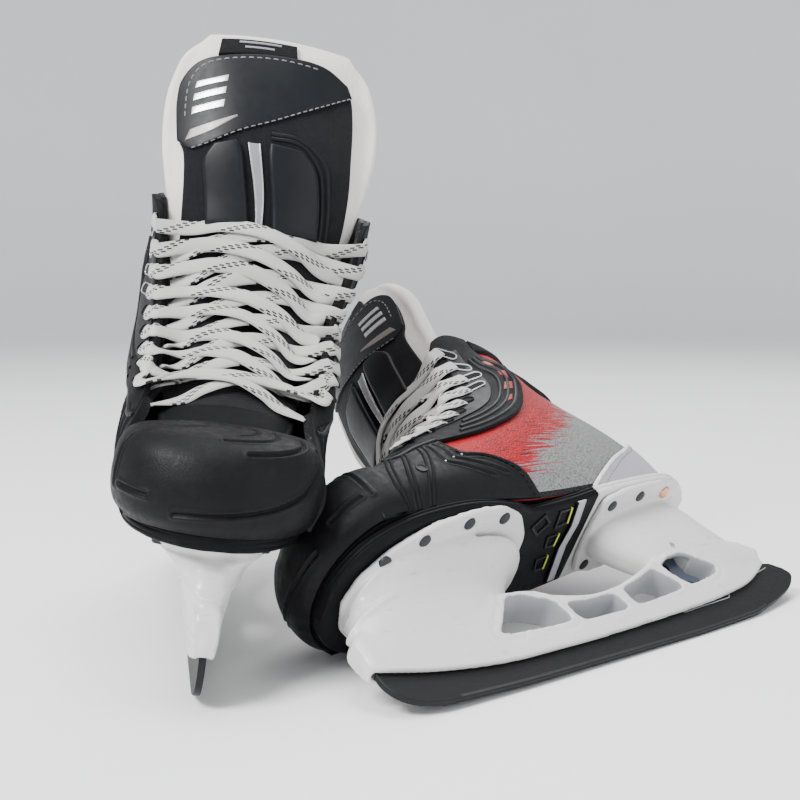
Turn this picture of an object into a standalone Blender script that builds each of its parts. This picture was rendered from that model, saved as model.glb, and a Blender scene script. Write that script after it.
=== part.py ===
"""A pair of ice hockey skates: the right one standing, the left one lying on its side.

Each skate is designed in its own frame, in millimetres: x forward to the toe, y to the
outer (lateral) side, z up, with the middle of the blade's edge at the origin. The right
skate is the mirror image of the left one. World units are metres, +Z up.
"""
import math

import bmesh
import bpy
from mathutils import Euler, Vector
from mathutils.geometry import interpolate_bezier

# ------------------------------------------------------------------ driving dimensions (mm)
MM = 0.001
GAP = 0.4                      # clearance between neighbouring pieces
SKIN_GAP = 0.7                 # between the curved skins of the boot
RUNNER_THICK = 3.0
ROCKER_RADIUS = 2200.0
FLAT_HALF = 60.0               # half of the runner's straight middle stretch
SOLE_THICK = 6.0
FLANGE_THICK = 3.2
SHELL_THICK = 3.4
FACING_THICK = 2.0
OVERLAY_THICK = 1.4
LINER_THICK = 4.5
FELT_THICK = 8.0
COVER_THICK = 2.2
PAD_THICK = 3.2
EYELET_COUNT = 9
EYELET_RADIUS = 3.2
LACE_RADIUS = 1.2

# how the pair lies, in degrees and millimetres
RIGHT_YAW, RIGHT_ROLL = -79.13, -7.93
RIGHT_PLACE = (1.5, 0.0, 0.2)
LEFT_YAW, LEFT_PITCH, LEFT_ROLL = -139.8, -0.6, 61.5
LEFT_PLACE = (210.5, -54.6, 2.0)
ORIGIN_SHIFT = (-144.645, -34.74, 0.01)

# joint axes, all across the skate: (x, z)
TONGUE_PIVOT = (-7.0, 211.5)
GUARD_PIVOT = (-121.5, 207.0)
RUNNER_PIVOT = (114.0, 21.0)
TRIGGER_PIVOT = (-86.0, 51.0)

# colour, roughness, metallic
FINISHES = {
    "black_plastic": ((0.018, 0.018, 0.020), 0.45, 0.0),
    "black_fabric": ((0.015, 0.015, 0.017), 0.85, 0.0),
    "red": ((0.62, 0.06, 0.07), 0.40, 0.0),
    "silver_plastic": ((0.62, 0.62, 0.68), 0.40, 0.0),
    "white_plastic": ((0.86, 0.86, 0.84), 0.35, 0.0),
    "felt": ((0.80, 0.78, 0.73), 0.95, 0.0),
    "lace": ((0.84, 0.82, 0.80), 0.90, 0.0),
    "grey": ((0.30, 0.31, 0.33), 0.50, 0.0),
    "steel": ((0.08, 0.08, 0.09), 0.30, 1.0),
    "bright_steel": ((0.70, 0.70, 0.72), 0.25, 1.0),
    "copper": ((0.80, 0.38, 0.24), 0.30, 1.0),
    "slate": ((0.05, 0.06, 0.09), 0.50, 0.0),
    "liner": ((0.05, 0.05, 0.06), 0.90, 0.0),
}

# ------------------------------------------------------------------ scene set-up
for old in list(bpy.data.objects):
    bpy.data.objects.remove(old, do_unlink=True)

PARTS = bpy.data.collections.new("hockey_skates")
CUTTERS = bpy.data.collections.new("cutters")
bpy.context.scene.collection.children.link(PARTS)
bpy.context.scene.collection.children.link(CUTTERS)


class Skate:
    """The frame of one skate: an empty at its blade's middle, and its joint empties."""

    def __init__(self, prefix, place, angles, mirrored):
        self.prefix = prefix
        self.frame = bpy.data.objects.new(prefix + "_frame", None)
        self.frame.location = [MM * (a + b) for a, b in zip(place, ORIGIN_SHIFT)]
        self.frame.rotation_euler = Euler([math.radians(a) for a in angles])
        self.frame.scale = (1, -1 if mirrored else 1, 1)
        PARTS.objects.link(self.frame)

    def pivot(self, name, place):
        """An empty on a joint's axis, at (x, z) in the skate's middle plane."""
        empty = bpy.data.objects.new(self.prefix + "_" + name, None)
        empty.parent = self.frame
        empty.location = (MM * place[0], 0, MM * place[1])
        PARTS.objects.link(empty)
        return empty

    def place(self, obj, pivot=None):
        """Parents an object that was modelled in the skate's frame."""
        obj.parent = pivot or self.frame
        if pivot:
            obj.location = obj.location - pivot.location


def finish_material(name, finish):
    colour, roughness, metallic = FINISHES[finish]
    made = bpy.data.materials.new(name)
    made.use_nodes = True
    shader = made.node_tree.nodes["Principled BSDF"]
    shader.inputs["Base Color"].default_value = (*colour, 1)
    shader.inputs["Roughness"].default_value = roughness
    shader.inputs["Metallic"].default_value = metallic
    made.diffuse_color = (*colour, 1)
    return made


def mesh_object(skate, name, shape, finish, pivot=None):
    """A named part from a bmesh in the skate's millimetres."""
    bmesh.ops.scale(shape, vec=(MM, MM, MM), verts=shape.verts)
    if pivot:
        bmesh.ops.translate(shape, vec=-pivot.location, verts=shape.verts)
    full_name = skate.prefix + "_" + name
    mesh = bpy.data.meshes.new(full_name)
    shape.to_mesh(mesh)
    shape.free()
    obj = bpy.data.objects.new(full_name, mesh)
    obj.data.materials.append(finish_material(full_name, finish))
    obj.parent = pivot or skate.frame
    PARTS.objects.link(obj)
    return obj


def cutter(skate, name, shape):
    """A cutter from a bmesh in the skate's millimetres."""
    bmesh.ops.scale(shape, vec=(MM, MM, MM), verts=shape.verts)
    mesh = bpy.data.meshes.new(name)
    shape.to_mesh(mesh)
    shape.free()
    obj = bpy.data.objects.new(skate.prefix + "_" + name, mesh)
    obj.parent = skate.frame
    obj.hide_render = True
    obj.display_type = "WIRE"
    CUTTERS.objects.link(obj)
    return obj


def boolean(obj, other, operation):
    step = obj.modifiers.new(operation.lower(), "BOOLEAN")
    step.operation = operation
    step.object = other
    return step


# ------------------------------------------------------------------ shape helpers
def spline(points, t):
    """A smooth curve through the points; t runs from 0 to len(points) - 1."""
    last = len(points) - 1
    i = min(int(t), last - 1)
    u = t - i
    p1, p2 = Vector(points[i]), Vector(points[i + 1])
    p0 = Vector(points[i - 1]) if i else 2 * p1 - p2
    p3 = Vector(points[i + 2]) if i + 2 <= last else 2 * p2 - p1
    return 0.5 * (2 * p1 + (p2 - p0) * u + (2 * p0 - 5 * p1 + 4 * p2 - p3) * u * u
                  + (3 * p1 - p0 - 3 * p2 + p3) * u ** 3)


def level(pairs, x):
    """Straight-line interpolation in a list of (x, value), x falling."""
    for (xa, va), (xb, vb) in zip(pairs, pairs[1:]):
        if x >= xb:
            return va + (vb - va) * min(1.0, (xa - x) / (xa - xb))
    return pairs[-1][1]


def loft(rings):
    """A closed solid through equal rings of points, with flat ends."""
    shape = bmesh.new()
    made = [[shape.verts.new(p) for p in ring] for ring in rings]
    count = len(rings[0])
    for low, high in zip(made, made[1:]):
        for k in range(count):
            n = (k + 1) % count
            shape.faces.new((low[k], low[n], high[n], high[k]))
    shape.faces.new(made[0][::-1])
    shape.faces.new(made[-1])
    bmesh.ops.recalc_face_normals(shape, faces=shape.faces)
    return shape


def side_plate(outline, y_low, y_high):
    """A flat plate with a side-view outline of (x, z), from y_low to y_high."""
    return loft([[(x, y, z) for x, z in outline] for y in (y_low, y_high)])


def top_plate(outline, z_low, z_high):
    """A plate with a top-view outline of (x, y); its levels are functions of x."""
    return loft([[(x, y, z(x)) for x, y in outline] for z in (z_low, z_high)])


def cylinder_across(radius, centre, y_low, y_high, sides=12):
    """A cylinder whose axis runs across the skate."""
    ring = [(centre[0] + radius * math.cos(a), centre[1] + radius * math.sin(a))
            for a in [2 * math.pi * k / sides for k in range(sides)]]
    return side_plate(ring, y_low, y_high)


def surface_grid(point, us, vs, offset, keep=None):
    """An open sheet of triangles over a surface, moved along its normal."""
    shape = bmesh.new()
    made = {}
    step = 0.01
    for i, u in enumerate(us):
        for j, v in enumerate(vs):
            along = point(min(u + step, us[-1]), v) - point(max(u - step, us[0]), v)
            up = point(u, min(v + step, vs[-1])) - point(u, max(v - step, vs[0]))
            normal = along.cross(up).normalized()
            made[i, j] = shape.verts.new(point(u, v) + normal * offset)
    for i in range(len(us) - 1):
        for j in range(len(vs) - 1):
            if keep and not keep(us[i], vs[j]):
                continue
            a, b, c, d = made[i, j], made[i + 1, j], made[i + 1, j + 1], made[i, j + 1]
            shape.faces.new((a, b, c))
            shape.faces.new((a, c, d))
    loose = [v for v in shape.verts if not v.link_faces]
    bmesh.ops.delete(shape, geom=loose, context="VERTS")
    return shape


def sheet(skate, name, finish, point, us, vs, low, high, pivot=None, keep=None):
    """A skin between two offsets of a surface: an open sheet with Solidify."""
    obj = mesh_object(skate, name, surface_grid(point, us, vs, low, keep), finish, pivot)
    solid = obj.modifiers.new("thickness", "SOLIDIFY")
    solid.thickness = MM * (high - low)
    solid.offset = 1.0
    return obj


def between(values, low, high):
    return [v for v in values if low - 1e-6 <= v <= high + 1e-6]


# ------------------------------------------------------------------ the boot's surface
SOLE_TOP = [(140, 72.0), (5, 79.2), (-46.5, 85.0), (-155, 95.0)]


def sole_top(x):
    return level(SOLE_TOP, x)


def sole_bottom(x):
    return sole_top(x) - SOLE_THICK


# rows from the sole up, columns from the outer throat edge round the heel to the inner one
BOOT_CAGE = [
    [(90, 37, 0), (48, 37, 0), (-22, 29, 0), (-99, 22, 0), (-137, 2, 0),
     (-99, -22, 0), (-22, -30, 0), (48, -37, 0), (90, -38, 0)],
    [(90, 41, 89), (50, 42, 92), (-22, 36, 99), (-102, 23, 107), (-140, 2, 109),
     (-102, -24, 107), (-22, -38, 99), (50, -45, 92), (90, -43, 90)],
    [(85, 40, 104), (48, 42, 108), (-22, 40, 117), (-102, 24, 125), (-141, 2, 128),
     (-102, -27, 125), (-22, -44, 118), (48, -47, 109), (85, -41, 105)],
    [(68, 36, 118), (42, 41, 123), (-28, 42, 134), (-99, 24, 146), (-136, 2, 150),
     (-99, -29, 146), (-28, -48, 136), (42, -50, 124), (68, -38, 119)],
    [(34, 34, 136), (12, 40, 140), (-42, 42, 156), (-95, 23, 168), (-128, 1, 172),
     (-95, -32, 168), (-42, -50, 158), (12, -54, 142), (34, -47, 138)],
    [(3, 35, 156), (-16, 41, 162), (-56, 42, 178), (-93, 22, 190), (-122, -1, 194),
     (-93, -34, 190), (-56, -54, 180), (-16, -58, 164), (3, -53, 158)],
    [(-14, 35, 180), (-30, 41, 186), (-60, 39, 196), (-91, 21, 204), (-118, -5, 208),
     (-91, -37, 204), (-60, -56, 198), (-30, -64, 188), (-14, -59, 182)],
    [(-22, 37, 208), (-40, 41, 214), (-64, 36, 206), (-90, 20, 212), (-115, -7, 220),
     (-90, -38, 212), (-64, -57, 208), (-40, -68, 216), (-22, -63, 210)],
]
# sheet lines that every layer of the boot shares, so that their facets stay parallel
BOOT_S = [0, 0.9, 1.5, 2, 2.5, 3, 3.35, 3.7, 4, 4.3, 4.65, 5, 5.5, 6, 6.5, 7.1, 8]
BOOT_T = [0.5 * k for k in range(15)]
FACING_T = 3.0                 # the row where the eyelet facings start
EYELET_S = 0.45
COLUMNS = 8


def boot_point(s, t):
    """A point of the boot's outer surface; s runs round it and t runs up it."""
    rows = [spline(cage, s) for cage in BOOT_CAGE]
    rows[0].z = sole_top(rows[0].x) + 3.5 * GAP
    return spline(rows, t)


def boot_normal(s, t):
    step = 0.05
    along = boot_point(min(s + step, COLUMNS), t) - boot_point(max(s - step, 0), t)
    up = boot_point(s, min(t + step, 7)) - boot_point(s, max(t - step, 0))
    return along.cross(up).normalized()


def boot_offset(s, t, offset):
    return boot_point(s, t) + boot_normal(s, t) * offset


def make_upper(skate):
    """The boot's shell and the skins, liner and footbed that are built on it."""
    def shell_cells(s, t):
        in_facing = s < 0.5 or s > COLUMNS - 1
        return not (in_facing and t >= FACING_T)

    sheet(skate, "quarter_shell", "red", boot_point, BOOT_S, BOOT_T, -SHELL_THICK, 0,
          keep=shell_cells)
    for side, mirror in (("lateral", False), ("medial", True)):
        def strips(reach):
            low, high = (COLUMNS - reach, COLUMNS) if mirror else (0, reach)
            return between(BOOT_S, low, high)

        sheet(skate, "overlay_" + side, "black_plastic", boot_point, strips(1.5),
              between(BOOT_T, 0.5, 2.5), SKIN_GAP, SKIN_GAP + OVERLAY_THICK)
        facing = sheet(skate, "facing_" + side, "black_plastic", boot_point, strips(2),
                       between(BOOT_T, FACING_T, 7), SKIN_GAP, SKIN_GAP + FACING_THICK)
        cut_eyelets(skate, side, facing)
    sheet(skate, "heel_counter", "silver_plastic", boot_point, between(BOOT_S, 2.5, 5.5),
          between(BOOT_T, 0.5, 2), SKIN_GAP, SKIN_GAP + OVERLAY_THICK)
    sheet(skate, "tendon_guard_base", "black_plastic", boot_point, between(BOOT_S, 3, 5),
          between(BOOT_T, 5, 6), SKIN_GAP, SKIN_GAP + FACING_THICK)
    sheet(skate, "ankle_liner", "liner", boot_point, between(BOOT_S, 2.5, 5.5),
          between(BOOT_T, 2.5, 6.5), -SHELL_THICK - SKIN_GAP - LINER_THICK,
          -SHELL_THICK - SKIN_GAP)


def eyelet_row(k):
    """The row of eyelet k: even steps up the facing."""
    return 3.62 + (6.6 - 3.62) * (k / (EYELET_COUNT - 1)) ** 0.95


def cut_eyelets(skate, side, facing):
    """Cuts the lace holes, each along the facing's own normal."""
    s = EYELET_S if side == "lateral" else COLUMNS - EYELET_S
    for k in range(EYELET_COUNT):
        t = eyelet_row(k)
        shape = bmesh.new()
        bmesh.ops.create_cone(shape, cap_ends=True, segments=8, radius1=EYELET_RADIUS,
                              radius2=EYELET_RADIUS, depth=12)
        turn = boot_normal(s, t).to_track_quat("Z", "Y").to_matrix()
        bmesh.ops.rotate(shape, cent=(0, 0, 0), matrix=turn, verts=shape.verts)
        bmesh.ops.translate(shape, vec=boot_point(s, t), verts=shape.verts)
        boolean(facing, cutter(skate, f"eyelet_{side}_{k}", shape), "DIFFERENCE")


# ------------------------------------------------------------------ toe cap and soles
TOE_BACK = 92.0                # where the cap starts, at the sole
TOE_TIP = 133.0
TOE_HALF_WIDTH = 45.0
TOE_RIDGE = (78.0, 90.0)       # the cap's flat crown runs between these
TOE_TOP = 113.5
# the cap's side view from the sole up: (forward reach, side reach, rise), as fractions
TOE_PROFILE = [(0.86, 0.88, 0), (0.98, 0.96, 0.13), (1.0, 1.0, 0.32), (0.90, 0.99, 0.55),
               (0.72, 0.92, 0.75), (0.48, 0.76, 0.90), (0.22, 0.42, 0.98), (0, 0, 1)]


def toe_point(phi, row):
    """Round the cap from the outer side over the tip to the inner side, phi in radians."""
    reach, spread, rise = spline(TOE_PROFILE, row)
    forward = math.sin(phi)
    crown = TOE_RIDGE[0] + (TOE_RIDGE[1] - TOE_RIDGE[0]) * math.sin(phi)
    base = TOE_BACK + (TOE_TIP - TOE_BACK) * forward
    x = crown + (base - crown) * (reach * forward + spread * (1 - forward))
    bottom = sole_top(x) + GAP
    return Vector((x, TOE_HALF_WIDTH * math.cos(phi) * spread,
                   bottom + (TOE_TOP - bottom) * rise))


def make_toe_cap(skate):
    around = [math.pi * k / 12 for k in range(13)]
    rows = list(range(len(TOE_PROFILE)))
    shape = bmesh.new()
    made = [[shape.verts.new(toe_point(phi, row)) for row in rows] for phi in around]
    for left, right in zip(made, made[1:]):
        for j in range(len(rows) - 1):
            shape.faces.new((left[j], right[j], right[j + 1], left[j + 1]))
    bmesh.ops.remove_doubles(shape, verts=shape.verts, dist=0.01)
    bmesh.ops.recalc_face_normals(shape, faces=shape.faces)
    cap = mesh_object(skate, "toe_cap", shape, "black_plastic")
    solid = cap.modifiers.new("thickness", "SOLIDIFY")
    solid.thickness = MM * 2.6
    solid.offset = -1.0


# (x, outer half-width, inner half-width)
SOLE_WIDTHS = [(126.5, 8, 9), (123, 17, 18), (114, 28, 28), (99, 36, 36), (78, 40, 39),
               (50, 40, 39), (20, 34, 34), (5, 29, 31), (-25, 28, 30), (-46, 29, 29)]
HEEL_WIDTHS = [(-46.5, 29, 29), (-70, 29, 27), (-105, 27, 25), (-123, 22, 19), (-134, 14, 11),
               (-140, 7, 3)]


def sole_ring(x, outer, inner, thick):
    top, edge = sole_top(x), 2.0
    low = top - thick
    return [(x, outer, top), (x, outer, low + edge), (x, outer - edge, low),
            (x, edge - inner, low), (x, -inner, low + edge), (x, -inner, top)]


def make_soles(skate):
    """The forefoot outsole, the heel outsole, and the footbed inside the boot."""
    mesh_object(skate, "outsole", loft([sole_ring(*w, SOLE_THICK) for w in SOLE_WIDTHS]),
                "black_plastic")
    heel = mesh_object(skate, "outsole_heel", loft([sole_ring(*w, SOLE_THICK)
                                                    for w in HEEL_WIDTHS]), "white_plastic")
    thick = 3.0
    rings = []
    for x, outer, inner in SOLE_WIDTHS[2:] + HEEL_WIDTHS[1:-2]:
        low, inset = sole_top(x) + GAP, 9.0 if x > 30 else 12.5
        wide, narrow = outer - inset, inset - inner
        rings.append([(x, wide, low + thick), (x, wide, low), (x, narrow, low),
                      (x, narrow, low + thick)])
    mesh_object(skate, "footbed", loft(rings), "grey")
    return heel


# ------------------------------------------------------------------ the tongue
# its front face, from under the toe cap to the top: (x, z, middle y, half-width, edge set-back)
TONGUE_LINE = [(84, 104, 0, 22, 3), (67, 114, -2, 27, 5), (44, 126, -4, 32, 8),
               (20, 141, -6, 35, 10), (2, 160, -9, 38, 13), (-8, 184, -11, 41, 15),
               (-14, 211, -13, 46, 17), (-19, 241, -13, 49, 18), (-31, 273, -13, 49, 16),
               (-43, 299, -13, 42, 8)]
TONGUE_U = [-1, -0.82, -0.57, -0.3, -0.06, 0.1, 0.33, 0.57, 0.82, 1]
TONGUE_SPLIT = 6               # the row where the tongue folds, above the top lace
TONGUE_ROWS = len(TONGUE_LINE) - 1
FACE_U = 0.82                  # the black face leaves a felt border on each side
TONGUE_NORMAL = Vector((0.8, 0, 0.6))


def tongue_point(u, v):
    """The tongue's felt front; u runs across from the inner to the outer edge."""
    a = spline([(x, z, y) for x, z, y, _, _ in TONGUE_LINE], v)
    b = spline([(w, back, 0) for _, _, _, w, back in TONGUE_LINE], v)
    step = 0.05
    ahead = spline([(x, z, 0) for x, z, *_ in TONGUE_LINE], min(v + step, TONGUE_ROWS))
    behind = spline([(x, z, 0) for x, z, *_ in TONGUE_LINE], max(v - step, 0))
    run = (ahead - behind).normalized()
    normal = Vector((run.y, 0, -run.x))
    flat = Vector((a.x, a.z + b.x * u, a.y))
    return flat - normal * b.y * abs(u) ** 2.2


def make_tongue(skate):
    """Felt, black face, pads, spine and plate; the top part folds about its pivot."""
    pivot = skate.pivot("tongue_pivot", TONGUE_PIVOT)
    low_rows = [0, 1, 2, 3, 4, 5, TONGUE_SPLIT - 0.03]
    top_rows = [TONGUE_SPLIT + 0.06, 6.5, 7, 7.5, 8, 8.5, TONGUE_ROWS]

    def layer(name, finish, us, vs, low, high, moves):
        sheet(skate, name, finish, tongue_point, us, vs, low, high, pivot if moves else None)

    face = between(TONGUE_U, -FACE_U, FACE_U)
    layer("tongue_felt_lower", "felt", TONGUE_U, low_rows, -FELT_THICK, 0, False)
    layer("tongue_felt", "felt", TONGUE_U, top_rows, -FELT_THICK, 0, True)
    cover_low, cover_high = GAP, GAP + COVER_THICK
    layer("tongue_cover_lower", "black_fabric", face, low_rows, cover_low, cover_high, False)
    layer("tongue_cover", "black_fabric", face, top_rows[:-1], cover_low, cover_high, True)
    pad_low = cover_high + GAP
    pad_rows = between(top_rows, 6, 7)
    layer("tongue_pad_lateral", "black_plastic", between(TONGUE_U, 0.1, 0.57), pad_rows,
          pad_low, pad_low + PAD_THICK, True)
    layer("tongue_pad_medial", "black_plastic", between(TONGUE_U, -0.57, -0.06), pad_rows,
          pad_low, pad_low + PAD_THICK, True)
    plate_rows = between(top_rows, 7.5, 8.5)
    layer("tongue_plate", "black_plastic", face, plate_rows,
          pad_low, pad_low + 1.4, True)
    make_spine(skate, pivot, pad_low)
    label_us = [-0.42, -0.2, 0.1, 0.42]
    layer("tongue_label", "black_fabric", label_us, [8.62, TONGUE_ROWS - 0.05], GAP,
          GAP + 1.0, True)


def make_spine(skate, pivot, low):
    """The narrow grey strip between the two pads, wider at its top."""
    rings = []
    for v, half in ((6.1, 1.5), (6.5, 1.8), (7, 2.4)):
        centre = tongue_point(0.02, v)
        normal = Vector((1, 0, 0))
        rings.append([centre + normal * (low + 0.1) + Vector((0, half, 0)),
                      centre + normal * (low + 2.4) + Vector((0, half, 0)),
                      centre + normal * (low + 2.4) + Vector((0, -half, 0)),
                      centre + normal * (low + 0.1) + Vector((0, -half, 0))])
    mesh_object(skate, "tongue_spine", loft(rings), "grey", pivot)


# ------------------------------------------------------------------ tendon guard
GUARD_LOW_T = 6.25
# above the boot's rim: (rise, forward lean, width, drop at the sides)
GUARD_RISES = [(8, 2.5, 1.0, 3), (15, 5.5, 0.97, 6), (22, 9, 0.84, 9)]


def guard_point(s, t):
    """The guard's inner face: it rises from the boot's back and narrows to its top."""
    rows = [boot_offset(s, GUARD_LOW_T, SKIN_GAP), boot_offset(s, 7, SKIN_GAP)]
    middle = boot_point(4, 7).y
    for rise, lean, width, drop in GUARD_RISES:
        rim = rows[1]
        rows.append(Vector((rim.x + lean, middle + (rim.y - middle) * width,
                            rim.z + rise - drop * (s - 4) ** 2)))
    return spline(rows, t)


def make_tendon_guard(skate):
    pivot = skate.pivot("tendon_guard_pivot", GUARD_PIVOT)
    sheet(skate, "tendon_guard", "black_plastic", guard_point, between(BOOT_S, 3, 5),
          [0, 0.5, 1, 2, 3, 4], 0, 3.0, pivot)


# ------------------------------------------------------------------ holder
RAIL = [(132, 25, 40), (126, 22.5, 44), (100, 16, 44), (66, 11.5, 46), (30, 11, 45),
        (14, 11, 38.5), (0, 11.2, 35.3), (-12, 11.6, 34.3), (-30, 12.2, 36), (-50, 13, 41),
        (-66, 13.8, 46), (-90, 15.5, 50), (-119, 19.5, 50), (-136, 25, 46), (-147, 30, 38)]
# towers: (z, front x, rear x, half-width)
FRONT_TOWER = [(26, 132.5, 34, 5.2), (31, 132.8, 34, 7), (40, 130.5, 36, 9.2),
               (50, 125, 34, 12.5), (57, 121, 26, 18), (62, 118.5, 16, 25)]
REAR_TOWER = [(34, -70, -150, 7.5), (44, -67, -142, 9.5), (54, -59, -137, 11.5),
              (64, -52, -132.5, 13), (73, -49, -129, 14.5)]
FRONT_FLANGE = [(120, 2), (115, 16), (100, 29), (80, 37.5), (55, 40.5), (36, 39.5), (20, 32),
                (10.5, 18), (9, 0), (10.5, -18), (20, -31), (36, -37), (55, -38.5), (80, -36),
                (100, -28), (115, -15)]
REAR_FLANGE = [(-48, 10), (-50.5, 26), (-68, 29.5), (-103, 28.5), (-119, 18), (-126, 4),
               (-119, -13), (-103, -24), (-68, -26), (-52, -22), (-48, -8)]
WINDOWS = {
    "front": [(61, 24), (53, 32), (43, 43), (33, 42), (18.5, 35.5), (14, 22)],
    "middle": [(12.5, 32.2), (-2, 31), (-21, 31.2), (-25, 21.5), (9, 21)],
    "rear": [(-28.5, 32.5), (-46, 36.3), (-60, 40.5), (-73, 25.5), (-31, 21.8)],
    "trigger": [(-67, 41), (-78, 45.5), (-89, 46), (-106.5, 34), (-102, 29.5), (-77, 26)],
}
SLOT = [(130.6, 30.4), (97, 30.4), (93.4, 17.7), (20, 16.4), (-60, 16.9), (-89, 18.8),
        (-89.6, 32), (-101, 32), (-102, 22.2), (-119, 25.2), (-136, 30.8), (-148, 34.2),
        (-170, 34.2), (-170, -5), (130.6, -5)]
RUNNER_TOP = [(129.8, 24), (127, 27), (98.5, 27), (95, 16.8), (20, 15.6), (-60, 16),
              (-91.5, 18), (-92.6, 30.5), (-99.6, 30.5), (-100.8, 20.5), (-119, 24.2),
              (-136, 29.6), (-148, 32.6), (-156, 31), (-162, 25.5)]


def oval(z, front, rear, half, sides=12):
    """A level ring of a tower: a blunt oval."""
    middle, reach = (front + rear) / 2, (front - rear) / 2
    ring = []
    for k in range(sides):
        a = 2 * math.pi * (k + 0.5) / sides
        c, s = math.cos(a), math.sin(a)
        ring.append((middle + reach * math.copysign(abs(c) ** 0.7, c),
                     half * math.copysign(abs(s) ** 0.8, s), z))
    return ring


def rail_ring(x, low, high):
    """The rail's section: narrow at the runner, wider at the arch."""
    wide = min(level([(60, 9.5), (40, 9.0), (18, 6.0)], high),
               level([(132, 5.0), (118, 7.5), (98, 9.5)], x))
    narrow = min(4.7, wide - 1.2)
    middle = 0.5 * (low + high)
    return [(x, narrow, low), (x, narrow + 1, min(low + 7, middle)), (x, wide, high - 1.5),
            (x, wide - 1.5, high), (x, 1.5 - wide, high), (x, -wide, high - 1.5),
            (x, -narrow - 1, min(low + 7, middle)), (x, -narrow, low)]


def make_holder(skate):
    """The blade holder: a windowed rail and two towers with riveting flanges."""
    holder = mesh_object(skate, "holder", loft([rail_ring(*r) for r in RAIL]),
                         "white_plastic")

    def top_of_flange(x):
        return sole_bottom(x) - GAP

    def under_flange(x):
        return sole_bottom(x) - GAP - FLANGE_THICK

    parts = {
        "front_tower": loft([oval(*r) for r in FRONT_TOWER] + [oval(65.5, 117, 14, 29)]),
        "rear_tower": loft([oval(*r) for r in REAR_TOWER] + [oval(79.5, -51, -122, 16)]),
        "front_flange": top_plate(FRONT_FLANGE, under_flange, top_of_flange),
        "rear_flange": top_plate(REAR_FLANGE, under_flange, top_of_flange),
    }
    for name, shape in parts.items():
        boolean(holder, cutter(skate, name, shape), "UNION")
    for name, outline in WINDOWS.items():
        boolean(holder, cutter(skate, name + "_window", side_plate(outline, -40, 40)),
                "DIFFERENCE")
    slot_half = RUNNER_THICK / 2 + GAP
    boolean(holder, cutter(skate, "runner_slot", side_plate(SLOT, -slot_half, slot_half)),
            "DIFFERENCE")
    return holder


def make_runner(skate):
    """The steel runner: a long rocker with upswept ends and two hidden hooks."""
    pivot = skate.pivot("runner_pivot", RUNNER_PIVOT)
    outline = list(RUNNER_TOP)
    outline += [(-163.5, 21), (-160, 17), (-150, 11.5)]
    for x in (-132, -108, -84, -FLAT_HALF, FLAT_HALF, 84, 108):
        outline.append((x, (x * x - FLAT_HALF ** 2) / (2 * ROCKER_RADIUS)
                        + max(0, abs(x) - 110) * 0.15))
    outline += [(119, 5), (126, 10), (129.6, 17)]
    half = RUNNER_THICK / 2
    mesh_object(skate, "runner", side_plate(outline, -half, half), "steel", pivot)


# ------------------------------------------------------------------ release trigger
TRIGGER_OUTLINE = [(-91, 51), (-89.5, 54.5), (-86, 56), (-82.5, 54.5), (-81, 51), (-80.5, 45),
                   (-77.5, 38.5), (-75.5, 33), (-78, 30), (-83, 31.5), (-87, 28.9),
                   (-91.8, 29.6), (-91.3, 32), (-87, 37), (-88, 44)]
TRIGGER_CAVITY = [(-93.5, 49), (-92, 55), (-89, 58), (-83, 58), (-79, 55), (-77, 49),
                  (-74, 42), (-80, 34), (-92, 34), (-95, 42)]


def make_trigger(skate, holder):
    """The release lever in the rear window, its pin and its torsion spring."""
    pivot = skate.pivot("trigger_pivot", TRIGGER_PIVOT)
    pin_radius, lever_half, cavity_half, pin_half = 1.6, 2.6, 6.2, 11.0
    boolean(holder, cutter(skate, "trigger_cavity",
                           side_plate(TRIGGER_CAVITY, -cavity_half, cavity_half)),
            "DIFFERENCE")
    boolean(holder, cutter(skate, "pin_bore",
                           cylinder_across(pin_radius + GAP, TRIGGER_PIVOT, -30, 30)),
            "DIFFERENCE")
    lever = mesh_object(skate, "trigger", side_plate(TRIGGER_OUTLINE, -lever_half, lever_half),
                        "slate", pivot)
    boolean(lever, cutter(skate, "lever_bore",
                          cylinder_across(pin_radius + GAP, TRIGGER_PIVOT, -30, 30)),
            "DIFFERENCE")
    mesh_object(skate, "trigger_pin",
                cylinder_across(pin_radius, TRIGGER_PIVOT, -pin_half, pin_half), "bright_steel")
    turns, steps, coil_radius, wire, pitch = 1.8, 10, 3.2, 0.4, 1.05
    start = lever_half + wire + GAP
    points = []
    for k in range(int(turns * steps) + 1):
        a = 2 * math.pi * k / steps
        points.append((TRIGGER_PIVOT[0] + coil_radius * math.cos(a), start + pitch * k / steps,
                       TRIGGER_PIVOT[1] + coil_radius * math.sin(a)))
    tube(skate, "trigger_spring", points, wire, 1, "bright_steel")


def tube(skate, name, points, radius, resolution, finish):
    """A round wire or cord along the points, with filled ends."""
    full_name = skate.prefix + "_" + name
    curve = bpy.data.curves.new(full_name, "CURVE")
    curve.dimensions = "3D"
    curve.bevel_depth = MM * radius
    curve.bevel_resolution = resolution
    curve.use_fill_caps = True
    run = curve.splines.new("POLY")
    run.points.add(len(points) - 1)
    for slot, p in zip(run.points, points):
        slot.co = (MM * p[0], MM * p[1], MM * p[2], 1)
    obj = bpy.data.objects.new(full_name, curve)
    obj.data.materials.append(finish_material(full_name, finish))
    obj.parent = skate.frame
    PARTS.objects.link(obj)


# ------------------------------------------------------------------ rivets and lace
HEEL_RIVET = (-106, 20.5)


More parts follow.
